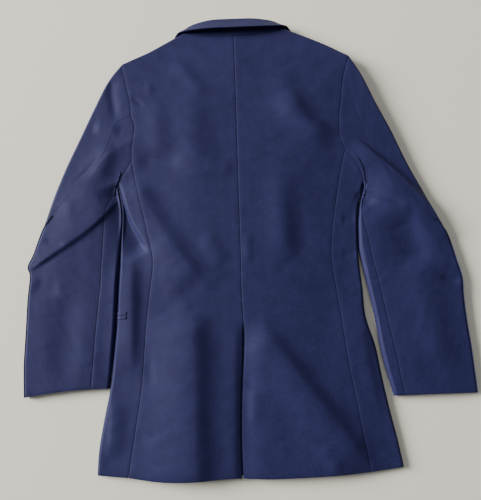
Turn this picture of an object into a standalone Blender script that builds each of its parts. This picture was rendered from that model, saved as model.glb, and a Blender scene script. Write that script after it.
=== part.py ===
"""Flight attendant uniform jacket, lying flat on its front: a long blazer with a centre vent.

Every panel is a cloth wall. Its place in plan is worked out between its seams, and its height comes
from one surface for the upper layer and one for the lower, so that panels meet at their seams.
Tables are in millimetres, x to the wearer's right and y from the centre of the hem to the collar.
"""

import math

import bmesh
import bpy
import numpy as np

MM = 0.001

# Cloth and seams
WALL = 2.0
SEAM_GAP = 0.3
UNDERLAP_GAP = 0.7

# Place of the box's centre in plan, so that the origin is under it
CENTRE = (16.0, 391.7)

# How round the side folds are, in plan, over and under their widest line
FOLD_OVER = 12.0
FOLD_UNDER = 9.0
DOME_REACH = 150.0

# Number of grid steps along each stretch
SEAM_ROWS = 18
CENTRE_FRONT_ROWS = 14
SHOULDER_STEPS = (0.0, 0.18, 0.36, 0.54, 0.72, 0.9, 1.0)
NECK_STEPS = (0.0, 0.32, 0.62, 0.85, 1.0)
BACK_HEM_STEPS = (0.0, 0.075, 0.18, 0.29, 0.40, 0.51, 0.62, 0.74, 0.87, 0.95, 1.0)
CROWN_STEPS = (0.0, 0.02, 0.09, 0.27, 0.5, 0.75, 1.0)
ARMHOLE_BACK_STEPS = (0.0, 0.2, 0.4, 0.6, 0.8, 1.0)
ARMHOLE_SIDE_STEPS = (0.0, 0.28, 0.56, 0.82, 0.91, 0.97, 1.0)
UNDERARM_STEPS = (0.0, 0.08, 0.4, 1.0)
ARMHOLE_FRONT_STEPS = (0.0, 0.22, 0.46, 0.7, 0.9, 0.97, 1.0)
FORE_STRIP_STEPS = 3
SLEEVE_ROWS_PER_SECTION = 2

# Thickness of the lying jacket at heights above the hem: along its folds, and at its fullest
THICKNESS = (
    # y, at the folds, at the fullest
    (-10, 9.0, 16.5),
    (120, 10.0, 18.0),
    (300, 12.0, 20.0),
    (500, 15.0, 24.0),
    (640, 20.0, 27.0),
    (710, 22.0, 27.0),
    (770, 17.0, 18.0),
)

# Lines of the body that run up from the hem
BODY_LINES = (
    # y, left fold, left back seam, centre, right back seam, right fold
    (50, -228.1, -173.4, -0.6, 196.4, 250.4),
    (100, -219.8, -165.6, 0.4, 188.6, 240.3),
    (150, -210.3, -158.7, 3.1, 180.8, 231.5),
    (200, -206.0, -155.1, 6.2, 174.1, 223.9),
    (250, -201.8, -151.4, 7.4, 169.0, 210.7),
    (300, -200.0, -146.2, 5.8, 163.0, 208.2),
    (350, -197.2, -141.0, 6.1, 158.3, 204.8),
    (400, -194.7, -150.6, 5.9, 162.6, 205.9),
)
LEFT_FOLD_HEM = (-230.7, 9.5)
LEFT_FOLD_TOP = ((-193.6, 425.0), (-194.5, 443.0), (-197.3, 460.0))
LEFT_UNDERARM = (-200.5, 476.0)
RIGHT_FOLD_HEM = (257.0, 10.2)
RIGHT_FOLD_TOP = ((207.5, 421.0), (211.0, 441.0), (216.2, 458.0))
RIGHT_UNDERARM = (219.5, 474.0)
LEFT_SEAM_HEM = (-180.5, 4.9)
LEFT_SEAM_TOP = ((-160.8, 446.2), (-171.2, 490.5))
LEFT_SEAM_END = (-177.6, 527.5)
RIGHT_SEAM_HEM = (203.5, 4.0)
RIGHT_SEAM_TOP = ((170.3, 443.0), (181.1, 497.3))
RIGHT_SEAM_END = (190.9, 535.7)
CENTRE_HEM = (0.2, -0.2)
CENTRE_TOP = ((5.3, 480.0), (5.1, 522.0), (4.8, 650.0), (4.2, 710.0))
CENTRE_NECK = (3.6, 753.0)
VENT_TOP = 246.0
VENT_WIDTHS = ((-10.0, 1.6), (100.0, 1.8), (180.0, 3.4), (225.0, 4.6), (246.0, 0.3))
LEFT_BACK_HEM = ((-21.3, 0.2), (-75.8, -2.2), (-130.0, -1.9))
RIGHT_BACK_HEM = ((27.1, -1.4), (61.4, -2.0), (147.1, 0.4))

# Shoulder lines, neck and armholes
LEFT_NECK = (-90.0, 762.0)
LEFT_SHOULDER = ((-123.7, 741.9), (-148.8, 727.0), (-179.2, 712.4))
LEFT_POINT = (-196.5, 704.5)
RIGHT_NECK = (93.5, 769.3)
RIGHT_SHOULDER = ((134.2, 750.8), (167.7, 734.3), (195.6, 718.0))
RIGHT_POINT = (208.2, 711.0)
LEFT_BACK_NECK = ((-56.0, 755.5), (-26.0, 753.4))
RIGHT_BACK_NECK = ((59.8, 758.0), (33.0, 754.2))
LEFT_CROWN = ((-187.1, 662.0), (-179.9, 628.3))
LEFT_ELBOW_TOP = (-178.0, 605.2)
LEFT_ARMHOLE_BACK = ((-172.3, 588.6), (-173.9, 565.8), (-177.0, 548.0))
LEFT_ARMHOLE_SIDE = ((-183.4, 514.4), (-192.9, 499.6), (-199.0, 486.0))
RIGHT_CROWN = ((198.0, 682.0), (192.1, 655.0))
RIGHT_ELBOW_TOP = (188.6, 629.0)
RIGHT_ARMHOLE_BACK = ((184.1, 599.7), (182.3, 577.0), (183.0, 558.0))
RIGHT_ARMHOLE_SIDE = ((198.7, 526.5), (209.5, 511.0), (217.8, 490.0))
LEFT_UNDER_TURN = (-196.8, 491.0)
LEFT_FRONT_CORNER = (-179.0, 515.0)
LEFT_ARMHOLE_FRONT = ((-165.0, 548.0), (-162.0, 600.0), (-173.0, 655.0))
RIGHT_UNDER_TURN = (215.6, 490.0)
RIGHT_FRONT_CORNER = (191.0, 518.0)
RIGHT_ARMHOLE_FRONT = ((175.0, 552.0), (172.5, 604.0), (184.0, 660.0))
FRONT_SEAM_INSET = 12.0

# Sections of the sleeves, from the armhole to the cuff, and where the two seams cross them
LEFT_SLEEVE = (
    # outer edge x, y, inner edge x, y, elbow seam and fore seam as shares of the width
    (-196.5, 704.5, -200.5, 476.0, 0.42, 0.95),
    (-221.0, 672.0, -200.6, 474.4, 0.46, 0.94),
    (-246.0, 620.0, -200.4, 470.5, 0.50, 0.92),
    (-270.0, 566.0, -199.0, 459.0, 0.41, 0.88),
    (-291.5, 518.0, -197.2, 442.0, 0.28, 0.81),
    (-310.0, 470.0, -196.4, 421.0, 0.10, 0.76),
    (-328.0, 413.0, -197.2, 398.0, 0.04, 0.78),
    (-343.0, 368.0, -198.8, 364.0, 0.035, 0.80),
    (-352.4, 346.0, -200.6, 336.0, 0.035, 0.81),
    (-348.0, 330.0, -201.8, 316.0, 0.035, 0.81),
    (-350.5, 291.0, -203.0, 285.0, 0.035, 0.80),
    (-351.7, 235.0, -205.6, 236.0, 0.035, 0.785),
    (-353.0, 183.0, -210.0, 188.0, 0.035, 0.785),
    (-351.0, 132.1, -213.4, 143.1, 0.035, 0.785),
)
RIGHT_SLEEVE = (
    # outer edge x, y, inner edge x, y, elbow seam and fore seam as shares of the width
    (208.2, 711.0, 219.5, 474.0, 0.36, 0.95),
    (229.0, 675.0, 219.8, 472.4, 0.42, 0.95),
    (250.0, 625.0, 219.6, 468.5, 0.47, 0.94),
    (275.0, 570.0, 217.4, 455.0, 0.41, 0.94),
    (298.0, 513.0, 213.2, 434.0, 0.28, 0.94),
    (320.0, 466.0, 209.9, 411.0, 0.17, 0.93),
    (341.5, 421.0, 208.0, 388.0, 0.08, 0.895),
    (357.5, 386.0, 208.0, 364.0, 0.04, 0.88),
    (371.3, 336.0, 210.8, 338.0, 0.035, 0.88),
    (377.2, 308.8, 215.2, 307.0, 0.035, 0.877),
    (376.4, 281.9, 219.5, 283.7, 0.035, 0.875),
    (377.7, 242.0, 226.6, 240.0, 0.035, 0.869),
    (381.8, 189.5, 233.6, 185.0, 0.035, 0.85),
    (385.0, 121.5, 248.6, 120.0, 0.035, 0.877),
)
LEFT_CUFF_BOW = 3.5
RIGHT_CUFF_BOW = 0.5
SLEEVE_ROW_BOW = 14.0
ARMHOLE_FADE = 4
CROWN_SPREAD = 0.45
ARMHOLE_SETTLE = 0.12

# Folds and hollows pressed into the upper layer
CREASES = (
    # start x, y, middle x, y, end x, y, height, width to the left of the path, width to its right
    (-200, 460, -247, 409, -350, 338, 7.0, 20, 42),
    (-199, 488, -178, 424, -146, 368, 5.5, 34, 18),
    (204, 552, 283, 481, 338, 412, 6.0, 20, 36),
    (221, 462, 262, 446, 322, 404, 5.5, 34, 18),
    (8, 262, 4, 160, 0, -20, -3.5, 15, 14),
    (-140, 388, -95, 345, -35, 296, 2.5, 22, 20),
    (84, 530, 98, 440, 112, 330, -2.5, 22, 20),
    (70, 680, 120, 620, 178, 560, -3.0, 22, 20),
    (-126, 660, -118, 600, -96, 545, -2.5, 22, 22),
    (44, 240, 96, 165, 172, 50, -2.5, 20, 22),
    (-42, 236, -44, 130, -38, 10, -2.5, 20, 20),
    (-112, 190, -114, 100, -118, 5, 2.0, 24, 24),
    (-300, 320, -290, 250, -296, 170, 2.0, 26, 26),
    (300, 350, 312, 260, 322, 160, 2.0, 28, 26),
)

# Centre front, neck opening and what lies folded under the fronts
FRONT_CENTRE_X = 1.75
FRONT_LAP = 20.0
FRONT_HEM_Y = 3.0
BREAK_Y = 472.0
NECK_TILT = 7.3
NECK_FOOT_Y = 740.0
HALF_NECK = 91.75
UNDER_LIFT = 2.7
LAP_LIFT = UNDER_LIFT + WALL + SEAM_GAP
LAP_TIP = 56.0
LAP_TIP_START = 4.0
LIFT_MARGIN = 24.0
LIFT_RAMP = 16.0
LAPEL_THICKNESS = 2.3
LAPEL = (
    # y on the roll line, outer edge x, y
    (480.0, 12.0, 477.0),
    (505.0, -22.0, 497.0),
    (532.0, -50.0, 525.0),
    (562.0, -74.0, 560.0),
    (595.0, -94.0, 598.0),
    (628.0, -108.0, 635.0),
    (661.0, -113.0, 655.0),
)
LEFT_LAPEL_FIRST = 2
FALL_UNDER = ((-104.0, 700.0), (-112.0, 750.0))
LAPEL_STEPS = 4
COLLAR_WALL = 1.8
COLLAR_CLEAR = 0.05
STAND_SHARE = 0.65
FALL_SHARE = 0.25
COLLAR = (
    # seam x, y, z, roll line x, y, z, free edge x, y, z, from the centre back round to the left gorge
    (1.75, 753.5, 18.8, 1.75, 786.0, 18.5, 1.75, 761.0, 34.5),
    (-32.0, 754.1, 18.1, -36.0, 785.0, 18.0, -34.0, 761.0, 33.5),
    (-60.0, 756.4, 17.4, -66.0, 778.5, 16.5, -66.0, 761.0, 29.5),
    (-79.0, 760.1, 15.6, -80.0, 772.5, 14.0, -86.0, 762.0, 23.0),
    (-88.0, 763.6, 9.2, -85.0, 771.0, 7.5, -98.0, 763.0, 12.0),
    (-85.6, 757.0, 3.4, -79.0, 759.0, 1.2, -107.0, 748.0, 1.0),
    (-68.2, 711.0, 3.4, -62.0, 713.0, 1.2, -104.0, 700.0, 1.0),
    (-53.2, 672.0, 3.4, -47.0, 673.0, 1.2, -92.0, 664.0, 1.0),
)
COLLAR_STEPS_PER_SECTION = 3
COLLAR_SECTION_STEPS = 8

# Vent underlap, pockets and buttons
UNDERLAP = (-16.0, 26.0, 5.0, 256.0)
UNDERLAP_WALL = 1.6
POCKET_Y = 260.0
JET_WIDTH = 5.4
JET_WALL = 1.1
JET_MARGIN = 1.0
POCKET_LIFT = JET_WALL + 2 * SEAM_GAP
LEFT_POCKET_END = 17.0
LEFT_POCKET_REACH = 108.0
RIGHT_POCKET_END = -4.0
RIGHT_POCKET_REACH = 126.0
JET_STEPS = (0.0, 0.5, 1.0)
BUTTON_RADIUS = 9.5
BUTTON_THICKNESS = 2.3
BUTTON_SIDES = 24
BUTTONS = (("button_top", 440.0), ("button_middle", 345.0), ("button_lower", 250.0))

CLOTH_COLOUR = (0.021, 0.030, 0.085, 1.0)
BUTTON_COLOUR = (0.012, 0.016, 0.04, 1.0)


# Curves and their stations

def catmull_rom(points, steps=12):
    """Dense smooth curve through the points, and the index there of each given point."""
    p = np.array(points, float)
    p = np.vstack([2 * p[0] - p[1], p, 2 * p[-1] - p[-2]])
    t = np.linspace(0, 1, steps, endpoint=False)[:, None]
    out = []
    for a, b, c, d in zip(p[:-3], p[1:-2], p[2:-1], p[3:]):
        bend = (2 * b) + (c - a) * t + (2 * a - 5 * b + 4 * c - d) * t**2
        out.append(0.5 * (bend + (3 * b - a - 3 * c + d) * t**3))
    out.append(p[-2][None])
    return np.vstack(out), np.arange(len(points)) * steps


def lengths(curve):
    return np.concatenate([[0], np.cumsum(np.linalg.norm(np.diff(curve, axis=0), axis=1))])


def stretch(points, fractions, first=0, last=-1):
    """Points at shares of the length between two of the curve's given points."""
    curve, index = catmull_rom(points)
    part = curve[index[first] : index[last] + 1]
    along = lengths(part)
    at = np.array(fractions) * along[-1]
    return np.stack([np.interp(at, along, part[:, k]) for k in range(part.shape[1])], axis=1)


def even(count):
    return np.linspace(0, 1, count + 1)


def mirrored(x, y):
    """The right side's point for one of the left side's, whose neck end lies lower."""
    around_neck = ((FRONT_CENTRE_X - x) / HALF_NECK) ** 2
    along_roll = (FRONT_CENTRE_X + FRONT_LAP - x) / (HALF_NECK + FRONT_LAP)
    tilt = NECK_TILT * np.where(y > NECK_FOOT_Y, around_neck, along_roll)
    return 2 * FRONT_CENTRE_X - x, y + tilt


def body_line(column, hem, tops, end, inset=0.0):
    rows = [(row[column] + inset, row[0]) for row in BODY_LINES]
    return [(hem[0] + inset, hem[1])] + rows + [(x + inset, y) for x, y in tops] + [end]


LEFT_FOLD = body_line(1, LEFT_FOLD_HEM, LEFT_FOLD_TOP, LEFT_UNDERARM)
RIGHT_FOLD = body_line(5, RIGHT_FOLD_HEM, RIGHT_FOLD_TOP, RIGHT_UNDERARM)
LEFT_SEAM = body_line(2, LEFT_SEAM_HEM, LEFT_SEAM_TOP, LEFT_SEAM_END)
RIGHT_SEAM = body_line(4, RIGHT_SEAM_HEM, RIGHT_SEAM_TOP, RIGHT_SEAM_END)
LEFT_FRONT_SEAM = body_line(2, LEFT_SEAM_HEM, LEFT_SEAM_TOP, LEFT_FRONT_CORNER, FRONT_SEAM_INSET)
RIGHT_FRONT_SEAM = body_line(4, RIGHT_SEAM_HEM, RIGHT_SEAM_TOP, RIGHT_FRONT_CORNER, -FRONT_SEAM_INSET)
CENTRE_LINE = body_line(3, CENTRE_HEM, CENTRE_TOP, CENTRE_NECK)
LEFT_OUTLINES = (
    LEFT_FOLD,
    [LEFT_NECK, *LEFT_SHOULDER, LEFT_POINT],
    [row[0:2] for row in LEFT_SLEEVE],
    [row[2:4] for row in LEFT_SLEEVE],
)
RIGHT_OUTLINES = (
    RIGHT_FOLD,
    [RIGHT_NECK, *RIGHT_SHOULDER, RIGHT_POINT],
    [row[0:2] for row in RIGHT_SLEEVE],
    [row[2:4] for row in RIGHT_SLEEVE],
)


def outline_segments():
    parts = []
    for line in (*LEFT_OUTLINES, *RIGHT_OUTLINES):
        curve, _ = catmull_rom(line, 6)
        parts.append(np.stack([curve[:-1], curve[1:]], axis=1))
    return np.vstack(parts)


OUTLINE = outline_segments()


# Heights of the two layers

def nearest(points, segments):
    """Distance from each point to the segments, and the unit direction to the nearest place."""
    a = segments[:, 0][None]
    ab = (segments[:, 1] - segments[:, 0])[None]
    ap = points[:, None] - a
    t = np.clip((ap * ab).sum(2) / (ab**2).sum(2), 0, 1)
    gap = a + t[..., None] * ab - points[:, None]
    distance = np.linalg.norm(gap, axis=2)
    best = distance.argmin(1)
    rows = np.arange(len(points))
    return distance[rows, best], gap[rows, best] / np.maximum(distance[rows, best], 1e-9)[:, None]


def smooth(x):
    x = np.clip(x, 0, 1)
    return x * x * (3 - 2 * x)


def thickness(y):
    rows = np.array(THICKNESS)
    return np.interp(y, rows[:, 0], rows[:, 1]), np.interp(y, rows[:, 0], rows[:, 2])


def crease_lift(points):
    lift = np.zeros(len(points))
    for ax, ay, bx, by, cx, cy, height, left_width, right_width in CREASES:
        curve, _ = catmull_rom(((ax, ay), (bx, by), (cx, cy)), 8)
        start = curve[:-1]
        run = np.diff(curve, axis=0)
        along = lengths(curve)
        ap = points[:, None] - start[None]
        t = np.clip((ap * run).sum(2) / (run**2).sum(1), 0, 1)
        gap = ap - t[..., None] * run
        distance = np.linalg.norm(gap, axis=2)
        best = distance.argmin(1)
        rows = np.arange(len(points))
        side = run[best, 0] * gap[rows, best, 1] - run[best, 1] * gap[rows, best, 0]
        share = (along[best] + t[rows, best] * np.linalg.norm(run, axis=1)[best]) / along[-1]
        fade = np.sin(math.pi * np.clip(share, 0, 1)) ** 0.7
        width = np.where(side > 0, left_width, right_width)
        lift += height * fade * np.exp(-((distance[rows, best] / width) ** 2))
    return lift


def inside(points, outline):
    count = np.zeros(len(points), int)
    for (ax, ay), (bx, by) in zip(outline, outline[1:] + outline[:1]):
        crosses = (ay > points[:, 1]) != (by > points[:, 1])
        rise = by - ay if by != ay else 1e-9
        count += crosses & (points[:, 0] < ax + (bx - ax) * (points[:, 1] - ay) / rise)
    return count % 2 == 1


def raised(points, outline, lift):
    """Lift over what lies under this outline and its margin, falling away over a ramp."""
    ends = np.array(outline + outline[:1], float)
    distance, _ = nearest(points, np.stack([ends[:-1], ends[1:]], axis=1))
    distance = np.where(inside(points, outline), 0, distance)
    return lift * (1 - smooth((distance - LIFT_MARGIN) / LIFT_RAMP))


def roll_x(y):
    """The left front's roll line, from the lapped edge at the break to the side of the neck."""
    foot = FRONT_CENTRE_X + FRONT_LAP
    return foot + (LEFT_NECK[0] - foot) * (y - BREAK_Y) / (LEFT_NECK[1] - BREAK_Y)


def turned_outline():
    """What is turned back under the left front: lapel and collar fall."""
    edge = [(FRONT_CENTRE_X + FRONT_LAP, BREAK_Y)] + [(x, y) for _, x, y in LAPEL]
    return [*edge, *FALL_UNDER, LEFT_NECK]


def pocket_outline(fold, side):
    x = np.interp(POCKET_Y, [p[1] for p in fold], [p[0] for p in fold])
    reach = LEFT_POCKET_REACH if side < 0 else RIGHT_POCKET_REACH
    low = POCKET_Y - JET_WIDTH - JET_MARGIN
    high = POCKET_Y + JET_WIDTH + JET_MARGIN
    return [(x, low), (x - side * reach, low), (x - side * reach, high), (x, high)]


TURNED_LEFT = turned_outline()
TURNED_RIGHT = [mirrored(x, y) for x, y in TURNED_LEFT]
STAND_LOW = -40.0
STAND_STRIP = [
    (FRONT_CENTRE_X - FRONT_LAP, STAND_LOW),
    (FRONT_CENTRE_X + FRONT_LAP, STAND_LOW),
    (FRONT_CENTRE_X + FRONT_LAP, BREAK_Y),
    (FRONT_CENTRE_X - FRONT_LAP, BREAK_Y),
]
LAP_OVER = [
    (FRONT_CENTRE_X - FRONT_LAP, STAND_LOW),
    (FRONT_CENTRE_X + FRONT_LAP, STAND_LOW),
    (FRONT_CENTRE_X + FRONT_LAP, BREAK_Y),
    (FRONT_CENTRE_X, BREAK_Y + LAP_TIP),
    (FRONT_CENTRE_X - FRONT_LAP, BREAK_Y + LAP_TIP_START),
]


def under_lift(points, side):
    """How far a front is held up by what is folded or sewn on under it. A sleeve has side 0."""
    if side == 0:
        return np.zeros(len(points))
    if side < 0:
        lift = raised(points, TURNED_LEFT, UNDER_LIFT)
        lift = np.maximum(lift, raised(points, LAP_OVER, LAP_LIFT))
        return np.maximum(lift, raised(points, pocket_outline(LEFT_FOLD, side), POCKET_LIFT))
    lift = raised(points, TURNED_RIGHT, UNDER_LIFT)
    lift = np.maximum(lift, raised(points, STAND_STRIP, UNDER_LIFT))
    return np.maximum(lift, raised(points, pocket_outline(RIGHT_FOLD, side), POCKET_LIFT))


def upper_height(points, distance):
    """Height of the upper layer above its folds' widest line, apart from their rounding."""
    at_fold, fullest = thickness(points[:, 1])
    dome = (fullest - at_fold) * smooth(distance / DOME_REACH)
    return dome + crease_lift(points) * smooth(distance / FOLD_OVER)


def slope(function, points, step=1.5):
    """Gradient of a height, by differences."""
    out = np.zeros((len(points), 2))
    for k in range(2):
        move = np.zeros(2)
        move[k] = step
        out[:, k] = (function(points + move) - function(points - move)) / (2 * step)
    return out


def surface(plan, upper, on_fold, toward, side):
    """Height and outward direction at plan points of one layer.

    on_fold marks points on a fold's widest line, and toward holds a point further in for each.
    """
    distance, out = nearest(plan, OUTLINE)
    on_fold = on_fold | (distance < SEAM_GAP)
    step_in = toward - plan
    step_in = step_in / np.maximum(np.linalg.norm(step_in, axis=1), 1e-9)[:, None]
    _, out_in = nearest(plan + 3.0 * step_in, OUTLINE)
    distance = np.where(on_fold, 0, distance)
    out = np.where(on_fold[:, None], out_in, out)
    at_fold, _ = thickness(plan[:, 1])
    middle = at_fold / 2
    radius = FOLD_OVER if upper else FOLD_UNDER
    lean = np.clip(1 - distance / radius, 0, 1)
    rise = np.sqrt(1 - lean**2)
    if upper:
        z = middle + middle * rise + upper_height(plan, distance)
        tilt = slope(lambda p: upper_height(p, nearest(p, OUTLINE)[0]), plan)
        up = np.hstack([-tilt, np.ones((len(plan), 1))])
    else:
        z = middle - middle * rise + under_lift(plan, side) * rise
        tilt = slope(lambda p: under_lift(p, side), plan)
        up = np.hstack([tilt, -np.ones((len(plan), 1))])
    normal = np.hstack([out * (middle * lean)[:, None], np.zeros((len(plan), 1))])
    normal = normal + up * (radius * rise)[:, None]
    return z, normal / np.linalg.norm(normal, axis=1)[:, None]


# Panels in plan

def patch(left, right, bottom, top, fade=1):
    """Grid between four edges that share corners: rows run from bottom to top."""
    rows = len(left)
    share_b = lengths(bottom) / lengths(bottom)[-1]
    share_t = lengths(top) / lengths(top)[-1]
    grid = np.zeros((rows, len(bottom), 2))
    for j in range(rows):
        t = j / (rows - 1)
        s = ((1 - t) * share_b + t * share_t)[:, None]
        row = (1 - s) * left[j] + s * right[j]
        low = bottom - ((1 - share_b)[:, None] * bottom[0] + share_b[:, None] * bottom[-1])
        high = top - ((1 - share_t)[:, None] * top[0] + share_t[:, None] * top[-1])
        grid[j] = row + (1 - t) ** fade * low + t**fade * high
    return grid


def drawn_in(grid, rows=(), columns=(), row_gap=SEAM_GAP / 2):
    """The grid with these end rows and end columns moved in by their share of a seam gap."""
    out = grid.copy()
    for k in rows:
        edge = grid[k]
        inner = grid[1 if k == 0 else -2]
        out[k] += inward(edge, inner) * row_gap
    for k in columns:
        edge = grid[:, k]
        inner = grid[:, 1 if k == 0 else -2]
        out[:, k] += inward(edge, inner) * SEAM_GAP / 2
    return out


def inward(edge, inner):
    run = np.gradient(edge, axis=0)
    across = np.stack([-run[:, 1], run[:, 0]], axis=1)
    across = across / np.linalg.norm(across, axis=1)[:, None]
    side = np.sign((across * (inner - edge)).sum(1))
    middle = side[len(side) // 2]
    return across * middle


# Walls

def sheet_points(plan, upper, fold_columns=(), fold_rows=(), side=-1, seam_rows=()):
    """Outer points and directions of a plan grid on one layer."""
    rows, columns = plan.shape[:2]
    on_fold = np.zeros((rows, columns), bool)
    toward = np.broadcast_to(plan.reshape(-1, 2).mean(0), plan.shape).copy()
    for k in fold_columns:
        on_fold[:, k] = True
        toward[:, k] = plan[:, 1 if k == 0 else -2]
    for k in fold_rows:
        on_fold[k] = True
        toward[k] = plan[1 if k == 0 else -2]
    flat = plan.reshape(-1, 2)
    z, normal = surface(flat, upper, on_fold.ravel(), toward.reshape(-1, 2), side)
    z = z.reshape(rows, columns)
    for k in seam_rows:
        z[k] += SEAM_GAP / 2 if upper else -SEAM_GAP / 2
    outer = np.dstack([plan, z])
    return outer, normal.reshape(rows, columns, 3)


def wall(name, outer, inner, material, collection):
    """Closed cloth wall between two like grids of points, made from an extruded grid."""
    rows, columns = outer.shape[:2]
    mesh = bmesh.new()
    bmesh.ops.create_grid(mesh, x_segments=columns - 1, y_segments=rows - 1, size=1)
    mesh.verts.ensure_lookup_table()
    place = mesh.verts.layers.int.new("place")
    for k, vert in enumerate(mesh.verts):
        vert[place] = k
    made = bmesh.ops.extrude_face_region(mesh, geom=mesh.faces[:], use_keep_orig=True)
    moved = {v for v in made["geom"] if isinstance(v, bmesh.types.BMVert)}
    for vert in mesh.verts:
        j, i = divmod(vert[place], columns)
        point = outer[j, i] if vert in moved else inner[j, i]
        vert.co = (
            (point[0] - CENTRE[0]) * MM,
            (point[1] - CENTRE[1]) * MM,
            point[2] * MM,
        )
    bmesh.ops.recalc_face_normals(mesh, faces=mesh.faces[:])
    if mesh.calc_volume(signed=True) < 0:
        bmesh.ops.reverse_faces(mesh, faces=mesh.faces[:])
    return finish(name, mesh, material, collection)


def finish(name, mesh, material, collection):
    data = bpy.data.meshes.new(name)
    mesh.to_mesh(data)
    mesh.free()
    data.materials.append(material)
    data.shade_smooth()
    data.set_sharp_from_angle(angle=math.radians(50))
    piece = bpy.data.objects.new(name, data)
    collection.objects.link(piece)
    return piece


def cloth(name, outer, normal, material, collection, thickness_in=WALL, start=0.0):
    """A wall whose outer face lies start inside these points."""
    face = outer - normal * start
    return wall(name, face, face - normal * thickness_in, material, collection)


# Pieces

def armhole(side):
    """Stations of the armhole seam over and under, from the shoulder point to the underarm."""
    left = side < 0
    point = LEFT_POINT if left else RIGHT_POINT
    crown = LEFT_CROWN if left else RIGHT_CROWN
    elbow = LEFT_ELBOW_TOP if left else RIGHT_ELBOW_TOP
    back = LEFT_ARMHOLE_BACK if left else RIGHT_ARMHOLE_BACK
    seam_end = LEFT_SEAM_END if left else RIGHT_SEAM_END
    side_part = LEFT_ARMHOLE_SIDE if left else RIGHT_ARMHOLE_SIDE
    underarm = LEFT_UNDERARM if left else RIGHT_UNDERARM
    corner = LEFT_FRONT_CORNER if left else RIGHT_FRONT_CORNER
    front = LEFT_ARMHOLE_FRONT if left else RIGHT_ARMHOLE_FRONT
    over = [point, *crown, elbow, *back, seam_end, *side_part, underarm]
    at_elbow = 1 + len(crown)
    at_seam = at_elbow + 1 + len(back)
    turn = LEFT_UNDER_TURN if left else RIGHT_UNDER_TURN
    under = [underarm, turn, corner, *front, point]
    return {
        "crown": stretch(over, CROWN_STEPS, 0, at_elbow),
        "back": stretch(over, ARMHOLE_BACK_STEPS, at_elbow, at_seam),
        "side": stretch(over, ARMHOLE_SIDE_STEPS, at_seam, -1),
        "underarm": stretch(under, UNDERARM_STEPS, 0, 2),
        "front": stretch(under, ARMHOLE_FRONT_STEPS, 2, -1),
    }


def joined(*parts):
    """Stations of stretches that follow each other, with the shared ends once."""
    return np.vstack([parts[0]] + [part[1:] for part in parts[1:]])


def centre_edge(side, shares):
    """The centre seam, and below it this side's edge of the vent."""
    line = stretch(CENTRE_LINE, shares)
    widths = np.array(VENT_WIDTHS)
    gap = np.interp(line[:, 1], widths[:, 0], widths[:, 1], right=SEAM_GAP)
    line[:, 0] += side * gap / 2
    return line


def back_panel(side, material, collection):
    left = side < 0
    hole = armhole(side)
    seam = stretch(LEFT_SEAM if left else RIGHT_SEAM, even(SEAM_ROWS))
    outer_edge = joined(seam, hole["back"][::-1], hole["crown"][::-1])
    centre = centre_edge(side, lengths(outer_edge) / lengths(outer_edge)[-1])
    neck = LEFT_NECK if left else RIGHT_NECK
    back_neck = LEFT_BACK_NECK if left else RIGHT_BACK_NECK
    shoulder = LEFT_SHOULDER if left else RIGHT_SHOULDER
    point = LEFT_POINT if left else RIGHT_POINT
    neck_edge = stretch([neck, *back_neck, tuple(centre[-1])], NECK_STEPS)[::-1]
    top = joined(neck_edge, stretch([neck, *shoulder, point], SHOULDER_STEPS))
    hem_way = LEFT_BACK_HEM if left else RIGHT_BACK_HEM
    hem = stretch([tuple(centre[0]), *hem_way, tuple(seam[0])], BACK_HEM_STEPS)
    plan = patch(centre, outer_edge, hem, top)
    plan = drawn_in(plan, columns=(-1,))
    neck_columns = len(NECK_STEPS) - 1
    outer, normal = sheet_points(plan, True, side=side)
    fold, fold_normal = sheet_points(plan, True, fold_rows=(-1,), seam_rows=(-1,), side=side)
    outer[-1, neck_columns:] = fold[-1, neck_columns:]
    normal[-1, neck_columns:] = fold_normal[-1, neck_columns:]
    name = "back_left" if left else "back_right"
    return cloth(name, outer, normal, material, collection)


def side_panel(side, material, collection):
    left = side < 0
    hole = armhole(side)
    seam = stretch(LEFT_SEAM if left else RIGHT_SEAM, even(SEAM_ROWS))
    fold = stretch(LEFT_FOLD if left else RIGHT_FOLD, even(SEAM_ROWS))
    front = stretch(LEFT_FRONT_SEAM if left else RIGHT_FRONT_SEAM, even(SEAM_ROWS))
    over_hem = stretch([tuple(seam[0]), tuple(fold[0])], ARMHOLE_SIDE_STEPS)
    over = patch(seam, fold, over_hem, hole["side"], fade=3)
    under_hem = stretch([tuple(fold[0]), tuple(front[0])], UNDERARM_STEPS)
    under = patch(fold, front, under_hem, hole["underarm"], fade=3)
    over = drawn_in(over, rows=(-1,), columns=(0,))
    under = drawn_in(under, rows=(-1,), columns=(-1,))
    upper, upper_normal = sheet_points(over, True, fold_columns=(-1,), side=side)
    lower, lower_normal = sheet_points(under, False, fold_columns=(0,), side=side)
    outer = np.concatenate([upper, lower[:, 1:]], axis=1)
    normal = np.concatenate([upper_normal, lower_normal[:, 1:]], axis=1)
    name = "side_left" if left else "side_right"
    cloth(name, outer, normal, material, collection)
    return outer, normal


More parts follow.
